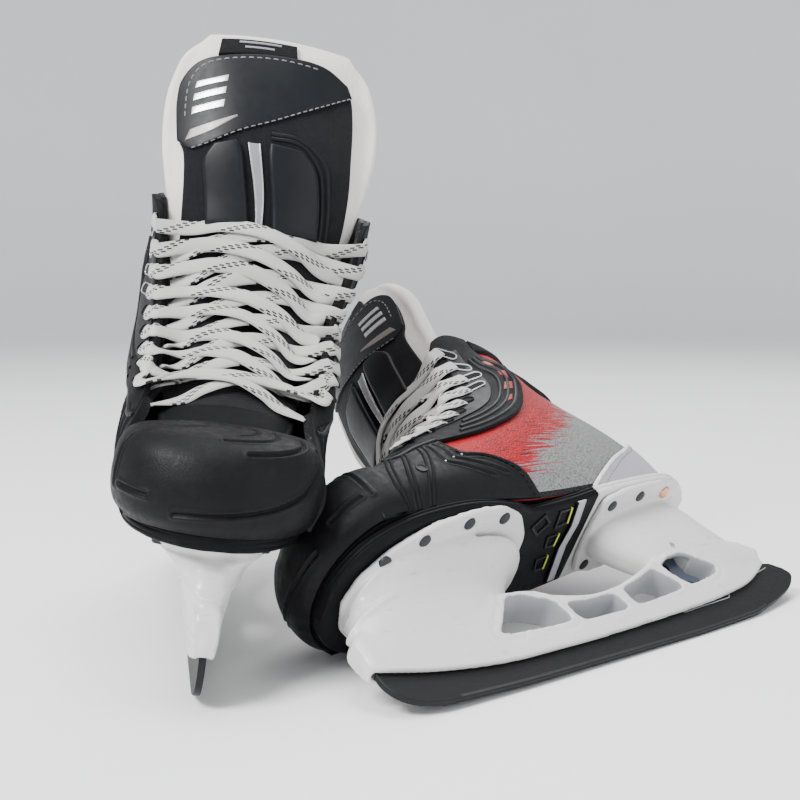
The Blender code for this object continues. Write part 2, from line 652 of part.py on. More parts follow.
def make_rivets(skate, holder, heel):
    """The two copper rivets that hold the heel: a domed head and a shank."""
    shank, head, bore = 1.8, 3.6, 2.2
    for side, sign in (("lateral", 1), ("medial", -1)):
        x, y = HEEL_RIVET[0], HEEL_RIVET[1] * sign
        under = sole_bottom(x) - GAP - FLANGE_THICK - 2.2 * GAP
        profile = [(shank, under + 6.5), (shank, under), (head, under), (head, under - 0.9),
                   (head * 0.7, under - 1.9), (head * 0.3, under - 2.3)]
        rings = [[(x + r * math.cos(a), y + r * math.sin(a), z)
                  for a in [2 * math.pi * k / 12 for k in range(12)]] for r, z in profile]
        mesh_object(skate, "heel_rivet_" + side, loft(rings), "copper")
        hole = [[(x + bore * math.cos(a), y + bore * math.sin(a), z)
                 for a in [2 * math.pi * k / 12 for k in range(12)]]
                for z in (under - 12, under + 7)]
        boolean(holder, cutter(skate, "rivet_bore_" + side, loft(hole)), "DIFFERENCE")
        boolean(heel, bpy.data.objects[f"{skate.prefix}_rivet_bore_{side}"], "DIFFERENCE")


# eyelet row -> the tongue row that lies behind it
LACE_ROWS = [(6.6, 5.35), (6, 4.9), (5, 3.8), (4, 2.5), (3.62, 2.0)]


def rim(side, t, offset, beyond=0.0):
    """A point at the throat edge, moved along the normal and then off the edge."""
    edge, inner = (0, 0.3) if side == 0 else (COLUMNS, COLUMNS - 0.3)
    off = (boot_point(edge, t) - boot_point(inner, t)).normalized()
    return boot_offset(edge, t, offset) + off * beyond


def over_tongue(side, share, t, lift, arch):
    """A point in front of the tongue; share 0 is its middle, 1 its edge on that side."""
    u = share if side == 0 else -share
    return tongue_point(u, level(LACE_ROWS, t) + arch) + TONGUE_NORMAL * lift


def lace_points():
    """The lace: a bar across the lowest eyelets, then criss-cross up to the top ones."""
    outer_face = SKIN_GAP + FACING_THICK
    outside, inside = outer_face + LACE_RADIUS + 2.0, -2.4
    eyelets = (EYELET_S, COLUMNS - EYELET_S)
    turn, tuck = (0.6, COLUMNS - 0.6), (1.3, COLUMNS - 1.3)

    def into(side, k):
        """Round the edge and in through eyelet k."""
        t, s = eyelet_row(k), eyelets[side]
        return [rim(side, t, outer_face + 2.0, 3.2), rim(side, t, outside),
                boot_offset(s, t, outside + 0.2), boot_offset(s, t, inside)]

    def cross(side, k, lift):
        """From under the edge at eyelet k, over the tongue, to near eyelet k + 1."""
        t, after = eyelet_row(k), eyelet_row(k + 1)
        return [rim(side, t + 0.08, inside, 2.0),
                over_tongue(side, 0.62, t, lift, 0.18),
                over_tongue(side, 0.0, 0.5 * (t + after), lift, 0.25),
                over_tongue(1 - side, 0.62, after, lift, 0.18)]

    halves = []
    for start in (0, 1):
        lift = COVER_THICK + LACE_RADIUS + 3.0 + start * (2 * LACE_RADIUS + 0.6)
        side, points = start, []
        for k in range(EYELET_COUNT - 1):
            points += cross(side, k, lift)
            side = 1 - side
            points += into(side, k + 1)
        points.append(boot_offset(turn[side], 6.5, -SHELL_THICK - 3.2))
        for t in (6.2, 5.2, 4.2):
            points.append(boot_offset(tuck[side], t, -SHELL_THICK - 3.2))
        halves.append(points)
    first = eyelet_row(0)
    bar = into(0, 0)[::-1]
    bar += [over_tongue(0, share, first, COVER_THICK + LACE_RADIUS + 3.0, 0.05)
            for share in (0.6, 0.0, -0.6)]
    bar += into(1, 0)
    return halves[0][::-1] + bar + halves[1]


def make_skate(skate):
    make_upper(skate)
    make_toe_cap(skate)
    heel = make_soles(skate)
    make_tongue(skate)
    make_tendon_guard(skate)
    holder = make_holder(skate)
    make_runner(skate)
    make_trigger(skate, holder)
    make_rivets(skate, holder, heel)
    tube(skate, "lace", lace_points(), LACE_RADIUS, 1, "lace")


make_skate(Skate("right", RIGHT_PLACE, (RIGHT_ROLL, 0, RIGHT_YAW), True))
make_skate(Skate("left", LEFT_PLACE, (LEFT_ROLL, LEFT_PITCH, LEFT_YAW), False))
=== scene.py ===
"""The looks of a pair of ice hockey skates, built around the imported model.

Each skate is modelled in its own frame in millimetres: x forward to the toe, y to the
outer side, z up. The right skate is the mirror image of the left one.
"""
import math

import bmesh
import bpy
import numpy as np
from mathutils import Euler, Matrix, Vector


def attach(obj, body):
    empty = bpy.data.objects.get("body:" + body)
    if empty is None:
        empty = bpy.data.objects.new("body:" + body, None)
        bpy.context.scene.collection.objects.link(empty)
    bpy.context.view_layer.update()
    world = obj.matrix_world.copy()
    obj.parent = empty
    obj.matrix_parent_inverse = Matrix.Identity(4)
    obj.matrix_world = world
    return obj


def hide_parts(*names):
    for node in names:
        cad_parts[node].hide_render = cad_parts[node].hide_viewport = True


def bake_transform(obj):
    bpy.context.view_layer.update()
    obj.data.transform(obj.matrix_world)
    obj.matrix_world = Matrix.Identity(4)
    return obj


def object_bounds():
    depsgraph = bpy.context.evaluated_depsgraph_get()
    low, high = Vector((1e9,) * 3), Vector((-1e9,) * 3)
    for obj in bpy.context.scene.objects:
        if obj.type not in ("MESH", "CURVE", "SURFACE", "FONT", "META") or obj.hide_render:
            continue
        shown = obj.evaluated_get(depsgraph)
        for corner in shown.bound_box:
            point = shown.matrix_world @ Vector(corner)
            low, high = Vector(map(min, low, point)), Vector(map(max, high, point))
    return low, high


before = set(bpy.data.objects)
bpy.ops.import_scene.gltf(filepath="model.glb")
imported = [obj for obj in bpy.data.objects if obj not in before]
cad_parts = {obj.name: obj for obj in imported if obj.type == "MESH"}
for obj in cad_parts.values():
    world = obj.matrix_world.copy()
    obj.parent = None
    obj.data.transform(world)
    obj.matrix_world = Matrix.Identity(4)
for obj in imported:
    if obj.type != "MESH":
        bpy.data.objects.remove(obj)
cad_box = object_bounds()

MM = 0.001

# how the pair lies, in degrees and millimetres
ORIGIN_SHIFT = np.array([-144.645, -34.74, 0.01])
SKATES = {
    "right": {"place": (1.5, 0.0, 0.2), "angles": (-7.93, 0, -79.13), "mirror": -1},
    "left": {"place": (210.5, -54.6, 2.0), "angles": (61.5, -0.6, -139.8), "mirror": 1},
}


# ------------------------------------------------------------------ camera, light and floor
def add_object(name, data):
    obj = bpy.data.objects.new(name, data)
    bpy.context.scene.collection.objects.link(obj)
    return obj


def make_camera():
    data = bpy.data.cameras.new("camera")
    data.lens = 56.1
    data.sensor_width = 36
    camera = add_object("camera", data)
    camera.location = (-0.036545, -0.64664, 0.17921)
    camera.rotation_euler = (math.radians(90 - 6.03), 0, 0)
    bpy.context.scene.camera = camera


def area_light(name, place, target, size, power):
    data = bpy.data.lights.new(name, "AREA")
    data.size = size
    data.energy = power
    lamp = add_object(name, data)
    lamp.location = place
    aim = np.array(target) - np.array(place)
    lamp.rotation_euler = (math.acos(-aim[2] / np.linalg.norm(aim)), 0,
                           math.atan2(aim[1], aim[0]) - math.pi / 2)


def make_light():
    area_light("key_light", (-0.9, -0.9, 1.3), (0, 0, 0.1), 0.6, 46)
    area_light("fill_light", (1.2, -0.8, 0.7), (0, 0, 0.12), 1.0, 7)
    area_light("back_light", (0.3, 1.2, 1.4), (0, 0, 0.1), 1.0, 14)
    area_light("top_light", (0, -0.1, 1.7), (0, 0, 0), 0.9, 18)
    world = bpy.data.worlds.new("studio")
    world.use_nodes = True
    background = world.node_tree.nodes["Background"]
    background.inputs["Color"].default_value = (0.95, 0.97, 1.0, 1)
    background.inputs["Strength"].default_value = 0.62
    bpy.context.scene.world = world


# ------------------------------------------------------------------ curves and surfaces
def cubic(a, b, c, d, u):
    """The Catmull-Rom curve from b to c, with a before and d after them, at the share u."""
    return 0.5 * (2 * b + (c - a) * u + (2 * a - 5 * b + 4 * c - d) * u ** 2
                  + (3 * b - a - 3 * c + d) * u ** 3)


def spline(points, t):
    """Catmull-Rom curve through the points, at an array of parameters."""
    p = np.asarray(points, float)
    last = len(p) - 1
    p = np.concatenate([[2 * p[0] - p[1]], p, [2 * p[-1] - p[-2]]])
    t = np.asarray(t, float)
    i = np.clip(t.astype(int), 0, last - 1)
    return cubic(p[i], p[i + 1], p[i + 2], p[i + 3], (t - i)[..., None])


def between_rows(rows, t):
    """Catmull-Rom curves across rows of points, each point with a parameter of its own."""
    rows = np.concatenate([[2 * rows[0] - rows[1]], rows, [2 * rows[-1] - rows[-2]]])
    i = np.clip(t.astype(int), 0, len(rows) - 4)
    a, b, c, d = (np.take_along_axis(rows, (i + k)[None, ..., None], axis=0)[0]
                  for k in range(4))
    return cubic(a, b, c, d, (t - i)[..., None])


def along(points, count):
    """That many points evenly spread in parameter on the curve through the points."""
    return spline(points, np.linspace(0, len(points) - 1, count))


def unit(v):
    return v / np.maximum(np.linalg.norm(v, axis=-1, keepdims=True), 1e-9)


def paired(u, v):
    """Two surface parameters as arrays of one shape."""
    return np.broadcast_arrays(np.asarray(u, float), np.asarray(v, float))


def nearest(points, path):
    """The distance from each point to the closest spot of the path."""
    away = np.full(points.shape[:-1], np.inf)
    for spot in path:
        away = np.minimum(away, np.linalg.norm(points - spot, axis=-1))
    return away


def groove(away, depth, rim, rim_place, width=0.8):
    """The height across a pressed line that has a low rim on each side."""
    return (rim * np.exp(-((away - rim_place) / width) ** 2)
            - depth * np.exp(-(away / width) ** 2))


SOLE_TOP = [(-155, 95.0), (-46.5, 85.0), (5, 79.2), (140, 72.0)]
SOLE_THICK = 6.0
FLANGE_THICK = 3.2


def sole_top(x):
    """The height of the sole's upper face under the boot."""
    return np.interp(x, [a for a, _ in SOLE_TOP], [b for _, b in SOLE_TOP])


# the boot: rows from the sole up, columns from the outer throat edge round the heel
BOOT_CAGE = [
    [(90, 37, 0), (48, 37, 0), (-22, 29, 0), (-99, 22, 0), (-137, 2, 0),
     (-99, -22, 0), (-22, -30, 0), (48, -37, 0), (90, -38, 0)],
    [(90, 41, 89), (50, 42, 92), (-22, 36, 99), (-102, 23, 107), (-140, 2, 109),
     (-102, -24, 107), (-22, -38, 99), (50, -45, 92), (90, -43, 90)],
    [(85, 40, 104), (48, 42, 108), (-22, 40, 117), (-102, 24, 125), (-141, 2, 128),
     (-102, -27, 125), (-22, -44, 118), (48, -47, 109), (85, -41, 105)],
    [(68, 34, 118), (42, 38.5, 123), (-28, 41, 134), (-99, 24, 146), (-136, 2, 150),
     (-99, -29, 146), (-28, -48, 136), (42, -50, 124), (68, -38, 119)],
    [(34, 31, 136), (12, 35, 140), (-42, 40, 156), (-95, 23, 168), (-128, 1, 172),
     (-95, -32, 168), (-42, -50, 158), (12, -52, 142), (34, -44, 138)],
    [(3, 30.5, 156), (-16, 35, 162), (-56, 40, 178), (-93, 22, 190), (-122, -1, 194),
     (-93, -34, 190), (-56, -54, 180), (-16, -55, 164), (3, -50, 158)],
    [(-14, 32, 180), (-30, 36.5, 186), (-60, 38, 196), (-91, 21, 204), (-118, -5, 208),
     (-91, -37, 204), (-60, -56, 198), (-30, -64, 188), (-14, -59, 182)],
    [(-22, 37, 208), (-40, 41, 214), (-64, 36, 206), (-90, 20, 212), (-115, -7, 220),
     (-90, -38, 212), (-64, -57, 208), (-40, -68, 216), (-22, -63, 210)],
]
BOOT_GAP = 1.4                 # between the sole and the boot's lowest row
SHELL_THICK = 3.4
SKIN = 0.7                     # the skins lie this far off the shell
COLUMNS = 8


def boot(s, t):
    """The boot's outer surface."""
    s, t = paired(s, t)
    rows = np.stack([spline(cage, s) for cage in BOOT_CAGE])
    rows[0, ..., 2] = sole_top(rows[0, ..., 0]) + BOOT_GAP
    return between_rows(rows, t)


# the tongue's front face: (x, z, middle y, half-width, edge set-back), from the toe up
TONGUE_LINE = [(84, 104, 0, 22, 3), (67, 114, -2, 27, 5), (44, 126, -4, 32, 8),
               (20, 141, -6, 35, 10), (2, 160, -9, 38, 13), (-8, 184, -11, 41, 15),
               (-14, 211, -13, 46, 17), (-19, 241, -13, 49, 18), (-31, 273, -13, 49, 16),
               (-43, 299, -13, 42, 8)]
TONGUE_ROWS = len(TONGUE_LINE) - 1


def tongue(u, v):
    """The tongue's felt front; u runs across from the inner to the outer edge."""
    u, v = paired(u, v)
    q = spline(TONGUE_LINE, v)
    step = 0.05
    middle = np.clip(v, step, TONGUE_ROWS - step)
    run = (spline(TONGUE_LINE, middle + step) - spline(TONGUE_LINE, middle - step))[..., :2]
    run = unit(run)
    back = q[..., 4] * np.minimum(np.abs(u), 1) ** 2.2
    return np.stack([q[..., 0] - run[..., 1] * back, q[..., 2] + q[..., 3] * u,
                     q[..., 1] + run[..., 0] * back], axis=-1)


# the tendon guard's rows above the rim: (rise, lean, width share, drop at the sides)
GUARD_RISES = [(8, 2.5, 1.0, 3), (15, 5.5, 0.97, 6), (22, 9, 0.84, 9)]


def guard(s, t):
    """The tendon guard's inner face, rising from the boot's back."""
    s, t = paired(s, t)
    rows = [offset(boot, s, 6.25 + 0 * s, SKIN), offset(boot, s, 7 + 0 * s, SKIN)]
    middle = boot(4, 7)[1]
    rim = rows[1]
    for rise, lean, width, drop in GUARD_RISES:
        rows.append(np.stack([rim[..., 0] + lean, middle + (rim[..., 1] - middle) * width,
                              rim[..., 2] + rise - drop * (s - 4) ** 2], axis=-1))
    return between_rows(np.stack(rows), t)


TOE_BACK, TOE_TIP, TOE_TOP = 92.0, 133.0, 113.5
TOE_HALF_WIDTH = 45.0
TOE_RIDGE = (78.0, 90.0)       # x of the cap's top line, at its sides and in its middle
# the cap's side view from the sole up: (forward reach, side reach, rise), as fractions
TOE_PROFILE = [(0.90, 0.90, 0), (0.98, 0.97, 0.13), (1.0, 1.0, 0.32), (0.97, 0.99, 0.55),
               (0.87, 0.94, 0.78), (0.68, 0.80, 0.93), (0.34, 0.45, 0.985), (0, 0, 1)]


def toe(angle, row):
    """The toe cap, from the inner side over the tip to the outer side."""
    angle, row = paired(angle, row)
    q = spline(TOE_PROFILE, row)
    forward = np.sin(angle)
    crown = TOE_RIDGE[0] + (TOE_RIDGE[1] - TOE_RIDGE[0]) * forward
    base = TOE_BACK + (TOE_TIP - TOE_BACK) * forward
    x = crown + (base - crown) * (q[..., 0] * forward + q[..., 1] * (1 - forward))
    bottom = sole_top(x) + 0.4
    return np.stack([x, -TOE_HALF_WIDTH * np.cos(angle) * q[..., 1],
                     bottom + (TOE_TOP - bottom) * q[..., 2]], axis=-1)


LIMITS = {boot: (-0.4, COLUMNS + 0.4, -0.1, 7), tongue: (-1.2, 1.2, -0.1, 9.3), guard: (3, 5, 0, 4),
          toe: (0, math.pi, 0, 6.9)}


def normal(surface, u, v):
    """Outward unit normals, from differences kept inside the surface's limits."""
    u_low, u_high, v_low, v_high = LIMITS[surface]
    u, v = paired(u, v)
    step = 0.03
    across = (surface(np.clip(u + step, u_low, u_high), v)
              - surface(np.clip(u - step, u_low, u_high), v))
    up = (surface(u, np.clip(v + step, v_low, v_high))
          - surface(u, np.clip(v - step, v_low, v_high)))
    return unit(np.cross(across, up))


def offset(surface, u, v, distance):
    """The surface moved out along its normals."""
    return surface(u, v) + normal(surface, u, v) * np.asarray(distance)[..., None]


# ------------------------------------------------------------------ shapes: (points, faces, uv)
def grid_faces(rows, columns, start=0, flip=False):
    """Quads between the points of a grid that starts at a point's number."""
    faces = []
    for i in range(rows - 1):
        for j in range(columns - 1):
            a = start + i * columns + j
            quad = (a, a + columns, a + columns + 1, a + 1)
            faces.append(quad[::-1] if flip else quad)
    return faces


def merge(*shapes):
    """Several shapes as one."""
    points, faces, uvs, count = [], [], [], 0
    for p, f, uv in shapes:
        points.append(p)
        uvs.append(uv)
        faces += [tuple(k + count for k in face) for face in f]
        count += len(p)
    return np.concatenate(points), faces, np.concatenate(uvs)


def spaced(count, reach):
    """Grid lines from 0 to 1, with extra ones close to both ends for a rounded border."""
    near = reach * np.array([0, 0.12, 0.35, 0.65])
    middle = np.linspace(reach, 1 - reach, max(count, 2))
    return np.concatenate([near, middle, 1 - near[::-1]])


def patch(surface, first, second, low, high, soft=0.8, count=(40, 16), relief=None,
          under_shift=0.0):
    """A skin between two curves of surface parameters, with rounded borders all round.

    Its uv is the surface parameters; under_shift is added to v on its hidden side, so that
    a printed pattern can stay on the outside.
    """
    first, second = np.asarray(first, float), np.asarray(second, float)
    probe = np.linspace(0, 1, 24)

    def at(a, b):
        p = spline(first, a * (len(first) - 1))
        q = spline(second, a * (len(second) - 1))
        return p + (q - p) * b[..., None]

    middle = at(probe, 0.5 + 0 * probe)
    length = np.linalg.norm(np.diff(surface(*middle.T), axis=0), axis=1).sum()
    width = np.array([np.linalg.norm(np.diff(surface(*at(a + 0 * probe, probe).T), axis=0),
                                     axis=1).sum() for a in probe])
    a_lines = spaced(count[0], min(0.3, soft / length))
    b_lines = spaced(count[1], min(0.3, soft / width.mean()))
    a, b = np.meshgrid(a_lines, b_lines, indexing="ij")
    uv = at(a, b)
    u, v = uv[..., 0], uv[..., 1]
    edge = np.minimum(np.minimum(a, 1 - a) * length,
                      np.minimum(b, 1 - b) * np.interp(a, probe, width))
    inward = 1 - np.clip(edge / soft, 0, 1)
    height = high - soft * (1 - np.sqrt(1 - inward ** 2))
    if relief:
        height = height + relief(u, v) * (1 - inward)
    base, out = surface(u, v), normal(surface, u, v)
    top = (base + out * height[..., None]).reshape(-1, 3)
    under = (base + out * low).reshape(-1, 3)
    rows, columns = u.shape
    total = rows * columns
    flip = np.sum(np.cross(top[columns] - top[0], top[1] - top[0])
                  * out.reshape(-1, 3)[0]) < 0
    faces = grid_faces(rows, columns, 0, flip) + grid_faces(rows, columns, total, not flip)
    ring = ([j for j in range(columns)] + [i * columns + columns - 1 for i in range(1, rows)]
            + [(rows - 1) * columns + j for j in range(columns - 2, -1, -1)]
            + [i * columns for i in range(rows - 2, 0, -1)])
    for p, q in zip(ring, ring[1:] + ring[:1]):
        side = (p, q, q + total, p + total)
        faces.append(side[::-1] if flip else side)
    flat = uv.reshape(-1, 2)
    return (np.concatenate([top, under]), faces,
            np.concatenate([flat, flat + [0, under_shift]]))


def tube_faces(count, around):
    """The faces of a closed tube: its two flat ends, then its sides ring by ring."""
    faces = [tuple(range(around))[::-1],
             tuple((count - 1) * around + j for j in range(around))]
    for i in range(count - 1):
        for j in range(around):
            n = (j + 1) % around
            faces.append((i * around + j, i * around + n, (i + 1) * around + n,
                          (i + 1) * around + j))
    return faces


def path_reach(path):
    """How far along the path each of its points lies."""
    return np.concatenate([[0], np.linalg.norm(np.diff(path, axis=0), axis=1).cumsum()])


def sweep(centres, outs, sides, profile):
    """A closed section moved along a path; the profile is (side, out) in millimetres."""
    profile = np.asarray(profile, float)
    rings = (centres[:, None] + sides[:, None] * profile[None, :, :1]
             + outs[:, None] * profile[None, :, 1:])
    reach = path_reach(centres)
    across = (profile[:, 0] - profile[:, 0].min()) / max(np.ptp(profile[:, 0]), 1e-6)
    uv = np.stack(np.broadcast_arrays(reach[:, None], across[None, :]), -1).reshape(-1, 2)
    return rings.reshape(-1, 3), tube_faces(len(centres), len(profile)), uv


def circle(radius, sides=8, squash=1.0):
    turn = 2 * np.pi * np.arange(sides) / sides
    return np.stack([radius * np.cos(turn), squash * radius * np.sin(turn)], -1)


def bead(surface, curve, lift, radius, count=40):
    """A half-sunk strip, rounded and a little flat, along a curve of surface parameters."""
    u, v = along(curve, count).T
    centres = offset(surface, u, v, lift + 0 * u)
    outs = normal(surface, u, v)
    heading = unit(np.gradient(centres, axis=0))
    return sweep(centres, outs, unit(np.cross(heading, outs)), circle(radius, 8, 0.7))


def stitches(surface, curve, lift, length=2.2, gap=1.3, radius=0.32):
    """A row of thread stitches, each a small spindle, along a curve."""
    u, v = along(curve, 200).T
    path = offset(surface, u, v, lift + 0 * u)
    outs = normal(surface, u, v)
    reach = path_reach(path)
    made = []
    margin = 0.5
    for start in np.arange(margin, reach[-1] - length, length + gap):
        spots = start + length * np.array([0, 0.25, 0.75, 1])
        centres = np.stack([np.interp(spots, reach, path[:, k]) for k in range(3)], -1)
        out = unit(np.stack([np.interp(spots, reach, outs[:, k]) for k in range(3)], -1))
        centres -= out * (radius * 0.9 * np.array([1, 0, 0, 1]))[:, None]
        heading = unit(np.gradient(centres, axis=0))
        made.append(sweep(centres, out, unit(np.cross(heading, out)), circle(radius, 6)))
    return merge(*made)


def lathe(profile, centre, axis, sides=20, stretch=(0, 0, 0)):
    """A turned solid about an axis; the profile is (radius, height).

    stretch moves its two halves apart, which makes it long instead of round.
    """
    axis = unit(np.asarray(axis, float))
    side = unit(np.cross(axis, (0.3, 1, 0.2)))
    other = np.cross(axis, side)
    stretch = np.asarray(stretch, float)
    rings = []
    for radius, height in profile:
        for k in range(sides):
            turn = 2 * math.pi * k / sides
            ray = side * math.cos(turn) + other * math.sin(turn)
            push = stretch * np.sign(np.dot(ray, stretch)) if stretch.any() else 0
            rings.append(np.asarray(centre) + ray * radius + axis * height + push)
    points = np.array(rings)
    return points, tube_faces(len(profile), sides), points[:, :2] * 0.01


def loft(rings):
    """A closed solid through equal rings of points, with flat ends."""
    rings = np.asarray(rings, float)
    points = rings.reshape(-1, 3)
    return points, tube_faces(*rings.shape[:2]), points[:, [0, 2]] * 0.01


def plate(outline, y_low, y_high):
    """A flat plate with a side-view outline of (x, z)."""
    return loft([[(x, y, z) for x, z in outline] for y in (y_low, y_high)])


# ------------------------------------------------------------------ placing the pieces
def to_world(points, skate):
    """A skate's own millimetres as metres in the shared frame."""
    turn = np.array(Euler([math.radians(a) for a in skate["angles"]]).to_matrix())
    local = np.array(points, float)
    local[..., 1] *= skate["mirror"]
    return (local @ turn.T + np.array(skate["place"]) + ORIGIN_SHIFT) * MM


def mesh_from(name, shape, skate=None, recalc=True, weld=0.0):
    """The mesh of a shape, placed with its skate, and its points closer than weld joined."""
    points, faces, uvs = shape
    mirrored = skate and skate["mirror"] < 0
    placed = to_world(points, skate) if skate else np.asarray(points) * MM
    mesh = bpy.data.meshes.new(name)
    mesh.from_pydata(placed.tolist(), [], [f[::-1] for f in faces] if mirrored else faces)
    layer = mesh.uv_layers.new(name="UVMap")
    index = np.empty(len(mesh.loops), int)
    mesh.loops.foreach_get("vertex_index", index)
    layer.data.foreach_set("uv", np.asarray(uvs)[index].ravel())
    if recalc:
        body = bmesh.new()
        body.from_mesh(mesh)
        if weld:
            bmesh.ops.remove_doubles(body, verts=body.verts, dist=MM * weld)
        bmesh.ops.recalc_face_normals(body, faces=body.faces)
        body.to_mesh(mesh)
        body.free()
    mesh.polygons.foreach_set("use_smooth", [True] * len(mesh.polygons))
    return mesh


def modifier(obj, kind, **values):
    made = obj.modifiers.new(kind.lower(), kind)
    for key, value in values.items():
        setattr(made, key, value)


def emit(name, shape, material, body, replaced=(), sharp=50, recalc=True,
         bevel=0.0, bend=None, second=None, weld=0.0, wall=0.0):
    """One piece on each skate, riding its body; with bend it rides no body and its transform is
    baked into its points.

    second is another material and the faces that take it; wall thickens an open skin inwards.
    """
    for prefix, skate in SKATES.items():
        obj = add_object(f"{prefix}_{name}", mesh_from(name, shape, skate, recalc, weld))
        obj.data.materials.append(material)
        if second:
            obj.data.materials.append(second[0])
            obj.data.polygons.foreach_set("material_index", second[1].astype(np.int32))
        if bevel:
            modifier(obj, "BEVEL", width=MM * bevel, segments=2, limit_method="ANGLE")
        if wall:
            modifier(obj, "SOLIDIFY", thickness=MM * wall, offset=-1)
        if sharp:
            obj.data.set_sharp_from_angle(angle=math.radians(sharp))
        if bend:
            start, end = (to_world(tongue(0, v), skate) for v in bend)
            tuple(start)
            tuple(end)
            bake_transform(obj)
        else:
            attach(obj, f"{prefix}_{body}")
        if replaced:
            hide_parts(*[f"{prefix}_{node}" for node in replaced])


# ------------------------------------------------------------------ materials
BLACK = (0.005, 0.005, 0.006)


class Finish:
    """A Principled material that is built up with short node calls."""

    def __init__(self, name, colour, roughness, metallic=0.0, **sockets):
        self.material = bpy.data.materials.new(name)
        self.material.use_nodes = True
        self.tree = self.material.node_tree
        self.shader = self.tree.nodes["Principled BSDF"]
        self.colour = (*colour, 1)
        self.shader.inputs["Base Color"].default_value = self.colour
        self.shader.inputs["Roughness"].default_value = roughness
        self.shader.inputs["Metallic"].default_value = metallic
        for key, value in sockets.items():
            self.shader.inputs[key.replace("_", " ")].default_value = value
        self.place = self.tree.nodes.new("ShaderNodeTexCoord")

    def node(self, kind, links=None, **values):
        made = self.tree.nodes.new("ShaderNode" + kind)
        for key, value in values.items():
            setattr(made, key, value)
        for key, value in (links or {}).items():
            if isinstance(value, bpy.types.NodeSocket):
                self.tree.links.new(value, made.inputs[key])
            else:
                made.inputs[key].default_value = value
        return made

    def maths(self, operation, a, b=0.0):
        return self.node("Math", {0: a, 1: b}, operation=operation).outputs[0]

    def noise(self, scale, detail=3.0, stretch=(1, 1, 1), space="Object"):
        spot = self.node("Mapping", {"Vector": self.place.outputs[space], "Scale": stretch})
        return self.node("TexNoise", {"Vector": spot.outputs[0], "Scale": scale,
                                      "Detail": detail}).outputs[0]

    def cells(self, scale):
        return self.node("TexVoronoi", {"Vector": self.place.outputs["Object"],
                                        "Scale": scale}).outputs["Distance"]

    def uv(self):
        parts = self.node("SeparateXYZ", {0: self.place.outputs["UV"]})
        return parts.outputs[0], parts.outputs[1]

    def blend(self, share, a, b):
        def full(c):
            return c if isinstance(c, bpy.types.NodeSocket) or len(c) == 4 else (*c, 1)

        made = self.node("Mix", {0: share, 6: full(a), 7: full(b)}, data_type="RGBA")
        return made.outputs[2]

    def set(self, socket, value):
        self.tree.links.new(value, self.shader.inputs[socket])

    def bump(self, height, depth, strength=1.0):
        made = self.node("Bump", {"Height": height, "Distance": depth,
                                  "Strength": strength})
        below = self.shader.inputs["Normal"]
        if below.is_linked:
            self.tree.links.new(below.links[0].from_socket, made.inputs["Normal"])
        self.tree.links.new(made.outputs[0], below)

    def remap(self, value, low, high):
        return self.node("MapRange", {0: value, 1: 0.3, 2: 0.7, 3: low, 4: high}).outputs[0]

    def grained(self, scale, depth, vary=0.12, rough=0.1):
        """Fine grain in the bump, with slow changes of colour and roughness."""
        fine = self.noise(scale, 4.0)
        slow = self.noise(scale * 0.06, 3.0)
        dark = tuple(c * (1 - vary) for c in self.colour[:3])
        light = tuple(min(1, c * (1 + vary)) for c in self.colour[:3])
        self.set("Base Color", self.blend(self.remap(slow, 0, 1), dark, light))
        base = self.shader.inputs["Roughness"].default_value
        self.set("Roughness", self.remap(self.noise(scale * 0.2, 3.0), base - rough,
                                         base + rough))
        self.bump(fine, depth)
        return self.material


def leather(name, colour=BLACK, roughness=0.48):
    finish = Finish(name, colour, roughness, Specular_IOR_Level=0.13)
    finish.bump(finish.cells(1300), 0.00006)
    return finish.grained(1500, 0.00004)


def moulded(name, colour, roughness, depth=0.00003, **sockets):
    return Finish(name, colour, roughness, **sockets).grained(1400, depth, 0.05, 0.05)


def cloth(name, colour, count=900, depth=0.00012, sheen=0.08):
    """A plain weave from two crossed waves, with fuzz."""
    finish = Finish(name, colour, 0.85, Sheen_Weight=sheen, Sheen_Roughness=0.5,
                    Specular_IOR_Level=0.15)
    waves = []
    for direction in ("X", "Z"):
        wave = finish.node("TexWave", {"Vector": finish.place.outputs["Object"],
                                       "Scale": count / 2.2, "Distortion": 0.6},
                           bands_direction=direction).outputs["Fac"]
        waves.append(wave)
    finish.bump(finish.maths("MULTIPLY", *waves), depth)
    return finish.grained(count * 2, depth * 0.6, 0.2, 0.06)


def felt_finish():
    finish = Finish("felt", (0.80, 0.78, 0.74), 0.95, Sheen_Weight=0.25, Sheen_Roughness=0.6)
    fibres = finish.noise(700, 6.0, (1, 1, 0.35))
    pills = finish.noise(160, 4.0)
    finish.set("Base Color", finish.blend(finish.remap(finish.maths("MULTIPLY", fibres, pills),
                                                       -0.3, 1.6),
                                          (0.74, 0.71, 0.67), (0.86, 0.84, 0.80)))
    finish.bump(pills, 0.0008, 0.6)
    finish.bump(fibres, 0.0004)
    return finish.material


